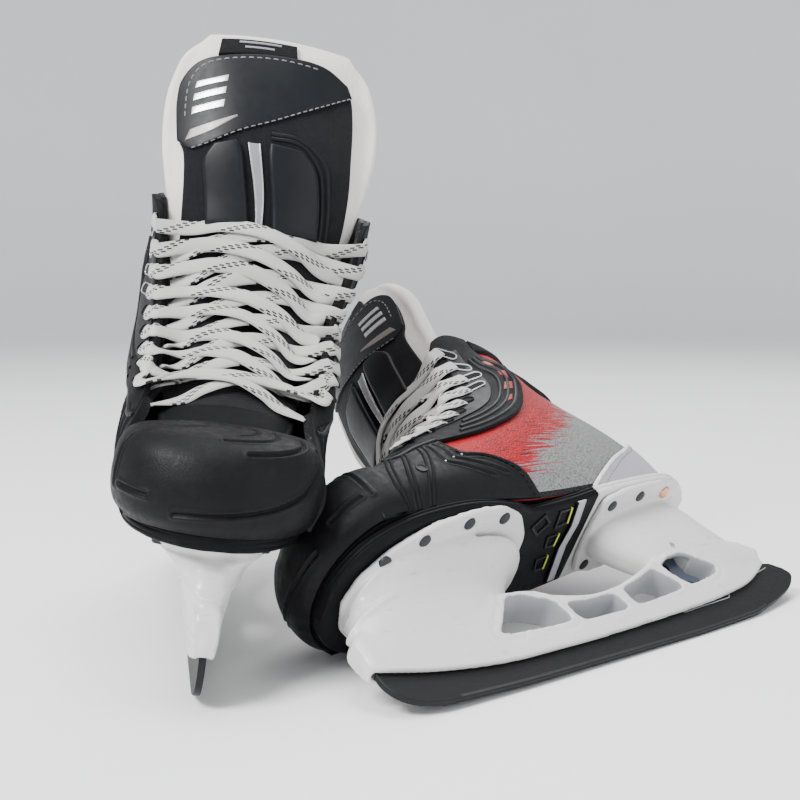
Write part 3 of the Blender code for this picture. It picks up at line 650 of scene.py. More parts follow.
def lace_finish():
    """Woven white ribbon, crossed at intervals by a double diagonal of black dashes."""
    finish = Finish("lace_weave", (0.84, 0.83, 0.81), 0.9, Sheen_Weight=0.1)
    maths = finish.maths
    reach, across = finish.uv()
    band_count, band_share = 7.0, 0.7      # rows of dashes across, and how full they are
    repeat, slant, dash_half = 36, -0.085, 0.034
    bands = maths("MULTIPLY", across, band_count)
    band = maths("FLOOR", bands)
    in_band = maths("LESS_THAN", maths("FRACT", bands), band_share)
    phase = maths("FRACT", maths("ADD", maths("MULTIPLY", reach, 1 / repeat),
                                 maths("MULTIPLY", band, slant)))
    dashes = []
    for middle in (0.30, 0.42):
        away = maths("ABSOLUTE", maths("SUBTRACT", phase, middle))
        dashes.append(maths("LESS_THAN", away, dash_half))
    mask = maths("MULTIPLY", in_band, maths("ADD", *dashes))
    weave = maths("MULTIPLY", maths("SINE", maths("MULTIPLY", reach, 7.5)),
                  maths("SINE", maths("MULTIPLY", across, 60.0)))
    tone = finish.blend(finish.remap(weave, 0.0, 1.0), (0.66, 0.65, 0.63), (0.80, 0.79, 0.77))
    # the ribbon darkens towards both edges: painted shade where it rounds over
    from_middle = maths("ABSOLUTE", maths("SUBTRACT", across, 0.5))
    edges = finish.node("MapRange", {0: from_middle, 1: 0.30, 2: 0.5, 3: 0.0, 4: 0.75})
    tone = finish.blend(edges.outputs[0], tone, (0.52, 0.51, 0.50))
    finish.set("Base Color", finish.blend(mask, tone, (0.006, 0.006, 0.007)))
    finish.bump(weave, 0.00025)
    finish.bump(finish.noise(1500, 3.0), 0.0001)
    return finish.material


def quarter_finish():
    """Red that breaks up in streaks into grey woven cloth towards the heel."""
    finish = Finish("quarter_print", (0.40, 0.02, 0.03), 0.45, Specular_IOR_Level=0.2)
    maths = finish.maths
    s, t = finish.uv()
    side = maths("ABSOLUTE", maths("SUBTRACT", s, 4.0))
    # the boundary runs diagonally, from the forefoot at the sole back to the heel's top
    line_slope, line_start = -0.42, 2.58
    line = maths("ADD", maths("MULTIPLY", t, line_slope), line_start)
    streak = finish.noise(2.6, 3.0, (1.0, 7.0, 1.0), "UV")
    ragged = maths("MULTIPLY", maths("SUBTRACT", streak, 0.5), 1.7)
    past = maths("ADD", maths("SUBTRACT", side, line), ragged)
    share = finish.node("MapRange", {0: past, 1: -0.02, 2: 0.02}).outputs[0]
    weave = finish.cells(800)
    red = finish.blend(finish.noise(60, 3.0), (0.27, 0.005, 0.009), (0.36, 0.010, 0.015))
    thin = finish.noise(4.0, 2.0, (1.0, 10.0, 1.0), "UV")
    near = maths("ABSOLUTE", maths("SUBTRACT", side, line))
    inked = maths("MULTIPLY", maths("GREATER_THAN", thin, 0.60),
                  maths("LESS_THAN", near, 0.75))
    red = finish.blend(inked, red, (0.030, 0.010, 0.012))
    grey = finish.blend(weave, (0.28, 0.28, 0.28), (0.09, 0.09, 0.092))
    # black under the facings, at the rim, on the inside and along the sole
    upper = maths("MAXIMUM", maths("GREATER_THAN", side, 2.85), maths("GREATER_THAN", t, 6.8))
    lower = maths("MULTIPLY", maths("LESS_THAN", t, 0.12), maths("GREATER_THAN", side, 1.1))
    hidden = maths("MAXIMUM", upper, lower)
    finish.set("Base Color", finish.blend(hidden, finish.blend(share, grey, red), BLACK))
    finish.bump(weave, 0.0003)
    return finish.material


def silver_finish(name, colour, roughness=0.38, metallic=0.35):
    return Finish(name, colour, roughness, metallic).grained(900, 0.00003, 0.06, 0.06)


def steel_finish(name, colour, roughness):
    finish = Finish(name, colour, roughness, 1.0)
    brushed = finish.noise(250, 2.0, (1, 1, 30))
    finish.set("Roughness", finish.remap(brushed, roughness - 0.08, roughness + 0.12))
    finish.set("Base Color", finish.blend(brushed, tuple(c * 0.8 for c in colour),
                                          tuple(c * 1.2 for c in colour)))
    finish.bump(brushed, 0.00003)
    return finish.material


def holder_finish():
    finish = Finish("holder_white", (0.80, 0.81, 0.83), 0.34, Coat_Weight=0.2)
    scuff = finish.noise(90, 6.0, (1, 1, 5))
    worn = finish.node("MapRange", {0: scuff, 1: 0.62, 2: 0.78}).outputs[0]
    finish.set("Base Color", finish.blend(worn, (0.62, 0.62, 0.61), (0.46, 0.46, 0.46)))
    finish.set("Roughness", finish.remap(scuff, 0.26, 0.46))
    finish.bump(finish.noise(2200, 2.0), 0.00002)
    return finish.material


def floor_finish():
    finish = Finish("floor", (0.94, 0.94, 0.945), 0.8)
    return finish.grained(40, 0.0002, 0.01, 0.05)


GRAIN = leather("black_leather")
SATIN = moulded("black_satin", (0.009, 0.010, 0.012), 0.36, Specular_IOR_Level=0.14)
MATTE = moulded("black_matte", (0.005, 0.005, 0.006), 0.5, 0.00006, Specular_IOR_Level=0.07)
RIBBED = cloth("black_ribbed_cloth", BLACK, 700)
COVER = cloth("tongue_cloth", (0.005, 0.005, 0.007), 1100)
LINING = cloth("lining", (0.035, 0.035, 0.04), 600)
FOOTBED = cloth("footbed_cloth", (0.12, 0.12, 0.13), 500)
FELT = felt_finish()
LACE = lace_finish()
QUARTER = quarter_finish()
PANEL = moulded("panel_red", (0.26, 0.010, 0.014), 0.45)
SILVER = silver_finish("heel_silver", (0.44, 0.43, 0.49))
TRIM_SILVER = silver_finish("silver_trim", (0.50, 0.50, 0.52), 0.28, 0.8)
BRONZE = silver_finish("bronze_grey", (0.20, 0.18, 0.17), 0.4, 0.5)
WHITE = holder_finish()
# a darker grey for the walls inside the holder's windows: painted shade
HOLDER_PAINTED_SHADE = moulded("holder_painted_shade", (0.36, 0.37, 0.39), 0.5)
WHITE_CORD = cloth("white_cord", (0.78, 0.77, 0.78), 1400)
GREY = moulded("grey_plastic", (0.20, 0.21, 0.23), 0.45)
SLATE = moulded("slate_blue", (0.03, 0.038, 0.06), 0.4)
RIVET = moulded("rivet_dark", (0.018, 0.020, 0.026), 0.45, Specular_IOR_Level=0.3)
GUNMETAL = steel_finish("gunmetal", (0.030, 0.030, 0.031), 0.55)
EDGE_STEEL = steel_finish("edge_steel", (0.055, 0.055, 0.058), 0.45)
STEEL = steel_finish("bright_steel", (0.72, 0.72, 0.74), 0.22)
COPPER = steel_finish("copper", (0.78, 0.40, 0.26), 0.28)
THREAD = cloth("grey_thread", (0.22, 0.22, 0.23), 2000)
ACCENT = moulded("yellow_green", (0.55, 0.62, 0.04), 0.5)


# ------------------------------------------------------------------ the boot
def mirror(curve):
    """The same curve on the inner side of the boot."""
    return [(COLUMNS - s, t) for s, t in curve]


def both(build, *curves):
    """The same detail on the outer and the inner side, as one shape."""
    return merge(build(*curves), build(*[mirror(c) for c in curves]))


def make_shell():
    """The printed quarter, and the padded lining at its ankle."""
    def ring(low_s, high_s, low_t, high_t):
        return [(low_s, low_t), (high_s, low_t)], [(low_s, high_t), (high_s, high_t)]

    inside_shift = 20              # moves the inner faces past the print's last row
    wide = patch(boot, *ring(0.0, COLUMNS, -0.06, 3.1), -SHELL_THICK, 0, 0.5, (160, 40),
                 under_shift=inside_shift)
    high = patch(boot, *ring(0.5, COLUMNS - 0.5, 3.0, 7.0), -SHELL_THICK, 0, 1.5, (150, 60),
                 under_shift=inside_shift)
    emit("quarter", merge(wide, high), QUARTER, "boot", ["quarter_shell"])
    inside = patch(boot, [(1.8, 1.6), (6.2, 1.6)], [(1.8, 6.93), (6.2, 6.93)],
                   -SHELL_THICK - 0.2, -SHELL_THICK - 5.0, -2.0, (70, 40))
    emit("ankle_lining", inside, LINING, "boot", ["ankle_liner"])


FACING_EDGE = [(0, 2.6), (0, 3.5), (0, 4.3), (0, 5), (0, 5.7), (0, 6.3), (0.08, 6.8),
               (0.30, 7.0)]
FACING_BACK = [(1.10, 2.62), (1.58, 2.57), (2.02, 3.10), (2.22, 3.9), (2.25, 4.5),
               (1.85, 5.57), (1.62, 6.4), (1.50, 6.97)]
PLATE_FRONT = [(0.55, 3.5), (0.62, 4.2), (0.60, 5.0), (0.60, 5.8), (0.62, 6.5)]
PLATE_BACK = [(1.28, 3.42), (1.62, 3.7), (1.66, 4.35), (1.42, 5.3), (1.10, 6.5)]
# where the laces end on the outer facing, from the lowest eyelet up
EYELETS = [(0.45, 3.30), (0.72, 3.60), (0.98, 3.80), (1.06, 4.15), (1.10, 4.55), (1.10, 5.02),
           (1.03, 5.52), (0.80, 6.08), (0.42, 6.62)]
FACING_HIGH = 2.7
FIRST_SLOT = 5                 # the eyelets from here up are slots
# how far back and down an eyelet lies from its lace end, and how long it's stretched
RING_SHIFT, RING_LONG = (0.10, -0.05), 1.4
SLOT_SHIFT, SLOT_LONG = (0.20, -0.12), 4.0
# small red panels that show between the ridges at the back of the facing
PANELS = [([(1.66, 5.45), (1.62, 5.65)], [(1.80, 5.20), (1.74, 5.55)]),
          ([(1.84, 4.75), (1.80, 4.95)], [(2.00, 4.50), (1.96, 4.85)]),
          ([(1.88, 4.10), (1.90, 4.40)], [(2.04, 4.05), (2.06, 4.35)]),
          ([(1.86, 3.50), (1.90, 3.78)], [(1.98, 3.62), (2.00, 3.82)])]


def between(first, second, share):
    """A curve part-way between two curves."""
    a, b = along(first, 12), along(second, 12)
    return a + (b - a) * share


def make_facings():
    """The eyelet patches with their raised plates, ridges and red panels."""
    def body(edge, back):
        return patch(boot, edge, back, SKIN - 0.6, FACING_HIGH, 0.9, (70, 30))

    emit("facing_outer", body(FACING_EDGE, FACING_BACK), MATTE, "boot", ["facing_lateral"])
    emit("facing_inner", body(mirror(FACING_EDGE), mirror(FACING_BACK)), MATTE, "boot",
         ["facing_medial"])

    def plates(front, back):
        return patch(boot, front, back, FACING_HIGH - 0.4, FACING_HIGH + 0.7, 0.6, (50, 14))

    emit("facing_plates", both(plates, PLATE_FRONT, PLATE_BACK), SATIN, "boot")
    ridges = []
    for share in (0.28, 0.52, 0.76):
        curve = between(PLATE_BACK, FACING_BACK[:7], share)[1:-1]
        ridges.append(both(lambda c: bead(boot, c, FACING_HIGH + 0.1, 1.0, 60), curve))
    emit("facing_ridges", merge(*ridges), SATIN, "boot")
    glints = [both(lambda a, b: patch(boot, a, b, FACING_HIGH - 0.4, FACING_HIGH + 0.35, 0.3,
                                      (10, 6)), first, second) for first, second in PANELS]
    emit("facing_panels", merge(*glints), PANEL, "boot")
    make_eyelets()


def eyelet_ring(s, t, outer, long):
    """A rounded ring with a dark well; the long ones are slots."""
    out = normal(boot, s, t)
    centre = boot(s, t) + out * (FACING_HIGH + 0.5)
    ahead = 0.06 if outer else -0.06
    stretch = unit(boot(s + ahead, t - 0.035) - boot(s - ahead, t + 0.035)) * long
    rim = [(2.4, 0), (2.9, 0.1), (3.1, 0.5), (2.9, 0.8), (2.5, 0.8), (2.3, 0.4), (2.3, 0)]
    return (lathe(rim, centre, out, 20, stretch),
            lathe([(2.5, 0), (2.5, 0.35)], centre, out, 20, stretch))


def make_eyelets():
    rings, slots, wells = [], [], []
    for k, (s, t) in enumerate(EYELETS):
        slot = k >= FIRST_SLOT
        back, up = SLOT_SHIFT if slot else RING_SHIFT
        for outer in (True, False):
            place = s + back if outer else COLUMNS - (s + back)
            ring, well = eyelet_ring(place, t + up, outer, SLOT_LONG if slot else RING_LONG)
            (slots if slot else rings).append(ring)
            wells.append(well)
    emit("eyelet_rings", merge(*rings), MATTE, "boot")
    emit("eyelet_slots", merge(*slots), TRIM_SILVER, "boot")
    emit("eyelet_wells", merge(*wells), RIBBED, "boot")


VAMP_FRONT = [(-0.3, -0.06), (-0.3, 0.8), (-0.25, 1.6), (-0.1, 2.3), (0, 3.05)]
VAMP_BACK = [(1.73, -0.06), (1.68, 0.87), (1.48, 1.47), (1.22, 1.9), (1.12, 2.75)]
# each groove sweeps from the eyelet patch over a small silver dot, a painted glint, and back along
# the side
GROOVES = [[(1.12, 2.45), (1.16, 2.0), (1.20, 1.67), (1.40, 1.47), (1.55, 1.10), (1.63, 0.80)],
           [(1.03, 2.45), (1.07, 2.0), (1.10, 1.63), (1.25, 1.33), (1.40, 1.03), (1.50, 0.80)],
           [(0.94, 2.45), (0.95, 1.9), (0.98, 1.53), (1.12, 1.27), (1.28, 0.93), (1.36, 0.75)]]
GLINT_DOTS = [line[2] for line in GROOVES]
BANDS = [[(0.10, 2.6), (0.08, 1.8), (0.04, 1.0), (0.0, 0.0)],
         [(0.19, 2.6), (0.17, 1.8), (0.12, 1.0), (0.06, 0.0)],
         [(0.45, 2.5), (0.40, 1.8), (0.28, 1.0), (0.14, 0.0)],
         [(0.53, 2.5), (0.48, 1.8), (0.36, 1.0), (0.20, 0.0)],
         [(0.88, 2.5), (0.83, 1.8), (0.70, 1.1), (0.42, 0.0)],
         [(0.80, 2.5), (0.75, 1.8), (0.62, 1.1), (0.36, 0.0)]]
TOE_PATCH = [(0.02, 2.5), (0.35, 2.38), (0.75, 2.60), (1.10, 2.70)]


def make_vamp():
    """The black overlay on the forefoot, with grooves, ribs, rings, dots and stitching."""
    paths = [boot(*along(line, 60).T) for line in GROOVES]

    def grooved(u, v):
        points = boot(u, v)
        return sum(groove(nearest(points, path), 0.9, 0.30, 1.5) for path in paths)

    def mirrored_grooves(u, v):
        return grooved(COLUMNS - u, v)

    high = SKIN + 1.5
    for name, front, back, relief, node in (
            ("vamp_outer", VAMP_FRONT, VAMP_BACK, grooved, "overlay_lateral"),
            ("vamp_inner", mirror(VAMP_FRONT), mirror(VAMP_BACK), mirrored_grooves,
             "overlay_medial")):
        emit(name, patch(boot, front, back, SKIN - 0.6, high, 0.8, (110, 110), relief), GRAIN,
             "boot", [node])
    edge = [(a - 0.07, b) for a, b in VAMP_BACK]
    seams = [both(lambda c: stitches(boot, c, high + 0.1), edge)]
    for curve in BANDS:
        seams.append(both(lambda c: bead(boot, c, high - 0.1, 0.9, 50), curve))
    emit("vamp_seams", merge(*seams), MATTE, "boot")
    welt = both(lambda c: bead(boot, c, high + 0.2, 1.2, 50), TOE_PATCH)
    badge = (0.60, 1.45)
    badges = [circle_mark(place, high) for place in [badge] + mirror([badge])]
    emit("vamp_welt", merge(welt, *badges), SATIN, "boot")
    # silver dots on the grooves: painted glints
    dots = []
    for s, t in GLINT_DOTS + mirror(GLINT_DOTS):
        dots.append(lathe([(0.55, 0), (0.55, 0.4), (0.3, 0.6)],
                          offset(boot, s, t, high - 0.2), normal(boot, s, t)))
    emit("vamp_glint_dots", merge(*dots), TRIM_SILVER, "boot")


def circle_mark(place, high):
    """A small raised ring on the overlay."""
    out = normal(boot, *place)
    return lathe([(2.2, 0.4), (2.3, 0.7), (2.8, 0.75), (3.0, 0.2), (2.9, 0.0), (2.2, 0.0)],
                 offset(boot, *place, high - 0.3), out, 24)


COUNTER_SEAM = [(2.33, -0.06), (2.48, 0.37), (2.73, 0.97), (3.1, 1.55), (3.38, 2.0)]


def make_heel():
    """Silver heel counter with a corded seam, and the collar with its tendon guard."""
    high = SKIN + 1.4
    counter = patch(boot, COUNTER_SEAM, mirror(COUNTER_SEAM), SKIN - 0.6, high, 0.8, (30, 70))
    emit("heel_cup", counter, SILVER, "boot", ["heel_counter"])
    cord = both(lambda c: bead(boot, c, high - 0.1, 1.1, 60), COUNTER_SEAM)
    top = bead(boot, [COUNTER_SEAM[-1], (3.7, 2.15), (4, 2.2), (4.3, 2.15),
                      mirror(COUNTER_SEAM)[-1]], high - 0.1, 1.1, 40)
    emit("heel_cord", merge(cord, top), WHITE_CORD, "boot")
    seam = [(s + 0.12, t) for s, t in COUNTER_SEAM]
    emit("heel_stitches", both(lambda c: stitches(boot, c, high + 0.1), seam), THREAD, "boot")
    low = [(1.62, 6.42), (2.2, 6.30), (3.0, 6.25)]
    rim = [(1.55, 6.97), (2.2, 6.97), (3.0, 6.97)]
    strip = both(lambda a, b: patch(boot, a, b, SKIN - 0.6, SKIN + 1.6, 0.7, (40, 10)),
                 low, rim)
    ribs = []
    for share in (0.2, 0.45, 0.7, 0.92):
        ribs.append(both(lambda c: bead(boot, c, SKIN + 1.5, 0.8, 40),
                         between(low, rim, share)))
    emit("collar_strip", merge(strip, *ribs), RIBBED, "boot")
    base = patch(boot, [(3.0, 5.0), (3.5, 4.7), (4.0, 4.6), (4.5, 4.7), (5.0, 5.0)],
                 [(3.0, 6.0), (4.0, 6.0), (5.0, 6.0)], SKIN - 0.6, SKIN + 2.0, 0.9, (30, 12))
    emit("guard_base", base, GRAIN, "boot", ["tendon_guard_base"])
    rise = patch(guard, [(3.0, 0.0), (3.0, 1.5), (3.1, 2.6), (3.3, 3.4), (3.55, 3.9)],
                 [(5.0, 0.0), (5.0, 1.5), (4.9, 2.6), (4.7, 3.4), (4.45, 3.9)], 0, 3.0, 1.2,
                 (30, 30))
    emit("guard_blade", rise, SATIN, "tendon_guard_body", ["tendon_guard"])


# ------------------------------------------------------------------ toe cap and soles
# lines pressed into the toe cap: (angle, row)
TOE_LINES = [[(2.2, 6.3), (2.62, 5.2), (2.80, 4.0), (2.84, 2.0)],
             [(2.30, 2.0), (2.72, 2.1)],
             [(0.55, 6.35), (0.85, 6.0), (1.35, 5.6)],
             [(0.42, 5.9), (0.75, 5.5), (1.10, 5.2), (1.60, 5.05)],
             [(0.35, 5.2), (0.60, 4.75), (0.95, 4.45), (1.35, 4.3)],
             [(0.30, 4.4), (0.50, 3.4), (0.85, 2.4), (1.4, 1.7), (2.0, 1.35)]]


def make_toe():
    """The toe cap with its pressed lines, the board under it and the flap behind it."""
    last_row = len(TOE_PROFILE) - 1
    u, v = np.meshgrid(np.linspace(0, math.pi, 321), np.linspace(0, last_row, 171),
                       indexing="ij")
    points = toe(u, v)
    outs = normal(toe, u, np.minimum(v, last_row - 0.2))    # there's no normal at its pole
    relief = sum(groove(nearest(points, toe(*along(line, 130).T)), 1.1, 0.4, 1.7)
                 for line in TOE_LINES)
    points = points + outs * relief[..., None]
    skin = points.reshape(-1, 3), grid_faces(*u.shape), np.stack([u, v], -1).reshape(-1, 2)
    emit("toe_shell", skin, GRAIN, "boot", ["toe_cap"], sharp=None, weld=0.05, wall=2.4)
    rim = toe(np.linspace(0.02, math.pi - 0.02, 40), np.zeros(40))
    inward = rim + (np.array([80, 0, 0]) - rim) * np.array([0.03, 0.03, 0])
    board = loft([inward + [0, 0, -0.3], inward + [0, 0, 2.2]])
    emit("toe_board", board, MATTE, "boot")
    flap = patch(tongue, [(-1.14, -0.1), (-1.15, 0.7), (-1.1, 1.2)],
                 [(1.14, -0.1), (1.15, 0.7), (1.1, 1.2)], 2.0, 4.4, 2.0, (40, 40))
    emit("toe_flap", flap, MATTE, "boot")


# the soles from front to rear: (x, outer half-width, inner half-width)
SOLE_WIDTHS = [(126.5, 8, 9), (123, 17, 18), (114, 28, 28), (99, 36, 36), (78, 40, 39),
               (50, 40, 39), (20, 34, 34), (5, 29, 31), (-25, 28, 30), (-46, 29, 29)]
HEEL_WIDTHS = [(-46.5, 29, 29), (-70, 29, 27), (-105, 27, 25), (-123, 22, 19), (-134, 14, 11),
               (-140, 7, 3)]


def sole_loft(widths, grooves, thick=SOLE_THICK, top=0.0, inset=0.0):
    """A sole with rounded edges and fine grooves round its side."""
    widths = along(widths, 90)
    rings = []
    for x, outer, inner in widths:
        high = sole_top(x) + top
        outer, inner = outer - inset, inner - inset
        right = [(outer - 0.4, 0), (outer, -0.6)]
        for k in range(grooves):
            z = -thick * (k + 0.7) / (grooves + 0.6)
            right += [(outer, z + 0.45), (outer - 0.5, z), (outer, z - 0.45)]
        right += [(outer, 1.6 - thick), (outer - 0.5, 0.6 - thick), (outer - 1.8, -thick)]
        left = [(-y * inner / outer, z) for y, z in right[::-1]]
        rings.append([(x, y, high + z) for y, z in right + left])
    return loft(rings)


def make_soles():
    """The black forefoot sole, the white heel sole and the insole."""
    emit("forefoot_sole", sole_loft(SOLE_WIDTHS, 2), MATTE, "boot", ["outsole"])
    emit("heel_sole", sole_loft(HEEL_WIDTHS, 1), WHITE, "boot", ["outsole_heel"])
    bed = SOLE_WIDTHS[2:] + HEEL_WIDTHS[1:-2]
    emit("insole", sole_loft(bed, 0, 3.0, 3.4, 11.0), FOOTBED, "boot", ["footbed"])
    make_waist()


def under_sole(outline, low, high):
    """A flat block under the waist, from an outline of (x, y)."""
    return loft([[(x, y, sole_top(x) - SOLE_THICK - drop) for x, y in outline]
                 for drop in (low, high)])


def frame_of(outline, share=0.72):
    """A raised frame: the outline as a loop of four bars."""
    outer = np.asarray(outline, float)
    inner = outer.mean(axis=0) + (outer - outer.mean(axis=0)) * share
    bars = []
    for k in range(len(outer)):
        n = (k + 1) % len(outer)
        bars.append(under_sole([outer[k], outer[n], inner[n], inner[k]], -0.3, 0.9))
    return merge(*bars)


def make_waist():
    """Frames, accents and the silver strip under the waist of the sole."""
    diamond = [(5, 19), (-3, 26), (-11, 19), (-3, 12)]
    boxes = [[(-15, 25), (-25, 25), (-27, 15), (-17, 13)],
             [(-14, 9), (-24, 9), (-24, 1), (-16, 1)],
             [(-13, -5), (-23, -5), (-24, -14), (-16, -14)]]
    emit("waist_frames", merge(*[frame_of(b) for b in [diamond] + boxes]), SATIN, "boot",
         bevel=0.2)
    accents = []
    for box in boxes:
        a, b = np.array(box[1]), np.array(box[2])
        accents.append(under_sole([a, b, b + [1.1, 0], a + [1.1, 0]], -0.3, 1.1))
    emit("waist_marks", merge(*accents), ACCENT, "boot")
    edge = [(-28, 27.5), (-31, 12), (-29, -2), (-33, -26)]
    strip = edge + [(x - 8, y) for x, y in edge[::-1]]
    emit("waist_strip", under_sole(strip, -0.3, 0.8), SILVER, "boot",
         bevel=0.3)
    lines = []
    for shift in (-0.6, -8.4):
        lines.append(under_sole([(x + shift, y) for x, y in edge]
                                + [(x + shift + 1.2, y) for x, y in edge[::-1]], -0.3, 1.2))
    emit("waist_strip_edges", merge(*lines), MATTE, "boot")


# ------------------------------------------------------------------ the tongue
FOLD = (5.7, 6.3)              # two tongue rows passed to emit as bend; no fold is spread between them


def make_tongue():
    """Felt, cloth front, badge, pads, strip and tab."""
    inner = [(-0.95, 0.1), (-0.95, 3), (-1.05, 6), (-1.14, 7.4), (-1.14, 8.3), (-1.10, 8.75),
             (-0.92, 9.12)]
    outer = [(0.95, 0.1), (0.95, 3), (1.05, 6), (1.11, 7.4), (1.12, 8.3), (1.10, 8.75),
             (0.92, 9.12)]

    def uneven(u, v):
        return 0.35 * np.sin(5.3 * v + 3 * u) * np.sin(4.1 * u + 1.3 * v)

    felt = patch(tongue, inner, outer, -7.6, 0.0, 3.4, (110, 44), uneven)
    emit("tongue_pad_felt", felt, FELT, "tongue", ["tongue_felt", "tongue_felt_lower"],
         bend=FOLD)

    face_in = [(-0.95, 0.1), (-0.97, 3), (-0.92, 5.0), (-0.88, 6.4), (-0.84, 7.2), (-0.82, 7.9),
               (-0.80, 8.3), (-0.70, 8.55), (-0.5, 8.66)]
    face_out = [(0.95, 0.1), (0.97, 3), (0.90, 5.0), (0.86, 6.7), (0.93, 7.2), (0.96, 7.8),
                (0.95, 8.2), (0.86, 8.5), (0.62, 8.62)]
    cover = patch(tongue, face_in, face_out, 0.1, 2.4, 1.0, (110, 40))
    emit("tongue_face", cover, COVER, "tongue", ["tongue_cover", "tongue_cover_lower"],
         bend=FOLD)

    low = [(0.92, 7.12), (0.78, 6.96), (0.62, 7.05), (0.35, 7.25), (-0.04, 7.5),
           (-0.44, 7.85), (-0.80, 8.25)]
    high = [(0.96, 7.75), (0.96, 8.2), (0.84, 8.52), (0.5, 8.62), (-0.1, 8.68), (-0.5, 8.66),
            (-0.76, 8.45)]
    emit("tongue_badge", patch(tongue, low, high, 2.2, 3.8, 0.7, (50, 20)), SATIN, "tongue",
         ["tongue_plate"])
    line = [(0.86, 7.5), (0.87, 8.1), (0.78, 8.42), (0.5, 8.53), (0, 8.58), (-0.45, 8.56)]
    emit("tongue_stitches", merge(stitches(tongue, line, 3.9, 2.6, 1.6, 0.4),
                                  stitches(tongue, low[1:], 3.9, 2.2, 1.4)), THREAD,
         "tongue")
    bars = []
    for k in range(3):
        v = 7.52 + 0.22 * k
        bars.append(patch(tongue, [(0.80, v), (0.50, v + 0.10)],
                          [(0.80, v + 0.12), (0.50, v + 0.22)], 3.6, 4.2, 0.3, (10, 4)))
    emit("tongue_bars", merge(*bars), TRIM_SILVER, "tongue")
    streak = patch(tongue, [(0.84, 7.10), (0.60, 7.24), (0.36, 7.47)],
                   [(0.80, 7.28), (0.60, 7.38), (0.37, 7.50)], 3.6, 4.1, 0.3, (16, 5))
    emit("tongue_streak", streak, BRONZE, "tongue")

    pad_out = patch(tongue, [(0.15, 5.6), (0.22, 6.3), (0.29, 6.95), (0.34, 7.10)],
                    [(0.60, 5.6), (0.63, 6.3), (0.65, 6.73), (0.56, 7.03)], 2.2, 6.2, 2.2,
                    (40, 16))
    emit("tongue_pad_outer", pad_out, SATIN, "tongue", ["tongue_pad_lateral"], bend=FOLD)
    pad_in = patch(tongue, [(-0.61, 5.6), (-0.52, 6.4), (-0.45, 6.8), (-0.30, 7.06)],
                   [(-0.10, 5.6), (-0.03, 6.3), (0.03, 6.85), (0.04, 7.10)], 2.2, 6.0, 2.2,
                   (40, 16))
    arches = [bead(tongue, [(-0.65 - k, 5.6), (-0.56 - k, 6.5), (-0.48 - k, 6.9 + k),
                            (-0.28, 7.18 + k), (0.02, 7.2 + k)], 2.6, 1.1, 50)
              for k in (0.0, 0.07)]
    emit("tongue_pad_inner", merge(pad_in, *arches), SATIN, "tongue", ["tongue_pad_medial"],
         bend=FOLD)
    left = [(0.015, 5.6), (0.05, 6.3), (0.13, 7.08)]
    right = [(0.065, 5.6), (0.13, 6.3), (0.235, 7.08)]
    strip = patch(tongue, left, right, 2.2, 3.6, 0.5, (40, 6))
    emit("tongue_strip", strip, GREY, "tongue", ["tongue_spine"], bend=FOLD)
    edges = merge(bead(tongue, left, 3.4, 0.5, 40), bead(tongue, right, 3.4, 0.5, 40))
    emit("tongue_strip_edges", edges, TRIM_SILVER, "tongue", bend=FOLD)
    tab = patch(tongue, [(-0.20, 8.70), (0.70, 8.66)], [(-0.19, 8.99), (0.72, 8.99)], -0.4,
                2.2, 0.8, (20, 12))
    emit("tongue_tab", tab, RIBBED, "tongue", ["tongue_label"])
    marks = []
    for row, (start, end) in enumerate(((0.0, 0.5), (0.08, 0.42))):
        v = 8.90 - 0.1 * row
        marks.append(patch(tongue, [(start, v), (end, v)], [(start, v + 0.04), (end, v + 0.04)],
                           2.0, 2.5, 0.2, (10, 3)))
    emit("tongue_tab_marks", merge(*marks), GREY, "tongue")


# ------------------------------------------------------------------ the lace
LACE_WIDE, LACE_THICK = 7.4, 1.1
LACE_RISES = (5.4, 7.4)        # how high the two crossing strands lie on the tongue
EDGE_START, EDGE_STEP = 3.2, 0.43   # the boot row of the lowest lace, and between laces
TUCK = 1.6                     # a strand comes from under the edge this many laces lower
ARCH, LOWEST_ARCH = 0.42, 0.2  # how far up the tongue a strand's middle bows, in rows
SWAY, TILT = 0.04, 0.38        # how unevenly the strands lie and lean
# boot row -> the tongue row that lies behind it
LACE_ROWS = [(2.7, 1.0), (3.2, 1.6), (3.62, 2.0), (4, 2.5), (5, 3.8), (6, 4.9), (6.6, 5.35)]
LACE_ROW_T, LACE_ROW_V = zip(*LACE_ROWS)


def edge_row(k):
    """Where the lace of eyelet k passes over the throat edge."""
    return EDGE_START + EDGE_STEP * k


def ribbon(path, facing):
    """A flat woven strip on a smooth path; facing gives its outward side at each point."""
    count = 10 * (len(path) - 1) + 1
    centres = along(path, count)
    outs = along(facing, count)
    heading = unit(np.gradient(centres, axis=0))
    outs = unit(outs - heading * np.sum(outs * heading, -1, keepdims=True))
    half, thick = LACE_WIDE / 2, LACE_THICK / 2
    profile = [(-half, -0.1), (-half + 0.25, thick * 0.7), (-half * 0.75, thick * 1.25),
               (-half * 0.4, thick * 1.6), (0, thick * 1.7), (half * 0.4, thick * 1.6),
               (half * 0.75, thick * 1.25), (half - 0.25, thick * 0.7), (half, -0.1),
               (half - 0.5, -thick), (0, -thick * 0.7), (-half + 0.5, -thick)]
    return sweep(centres, outs, unit(np.cross(heading, outs)), profile)


def lay(path, facing, surface, place, high):
    """Adds a point of a lace that lies flat on a surface, at a height above it."""
    out = normal(surface, *place)
    path.append(surface(*place) + out * high)
    facing.append(out)


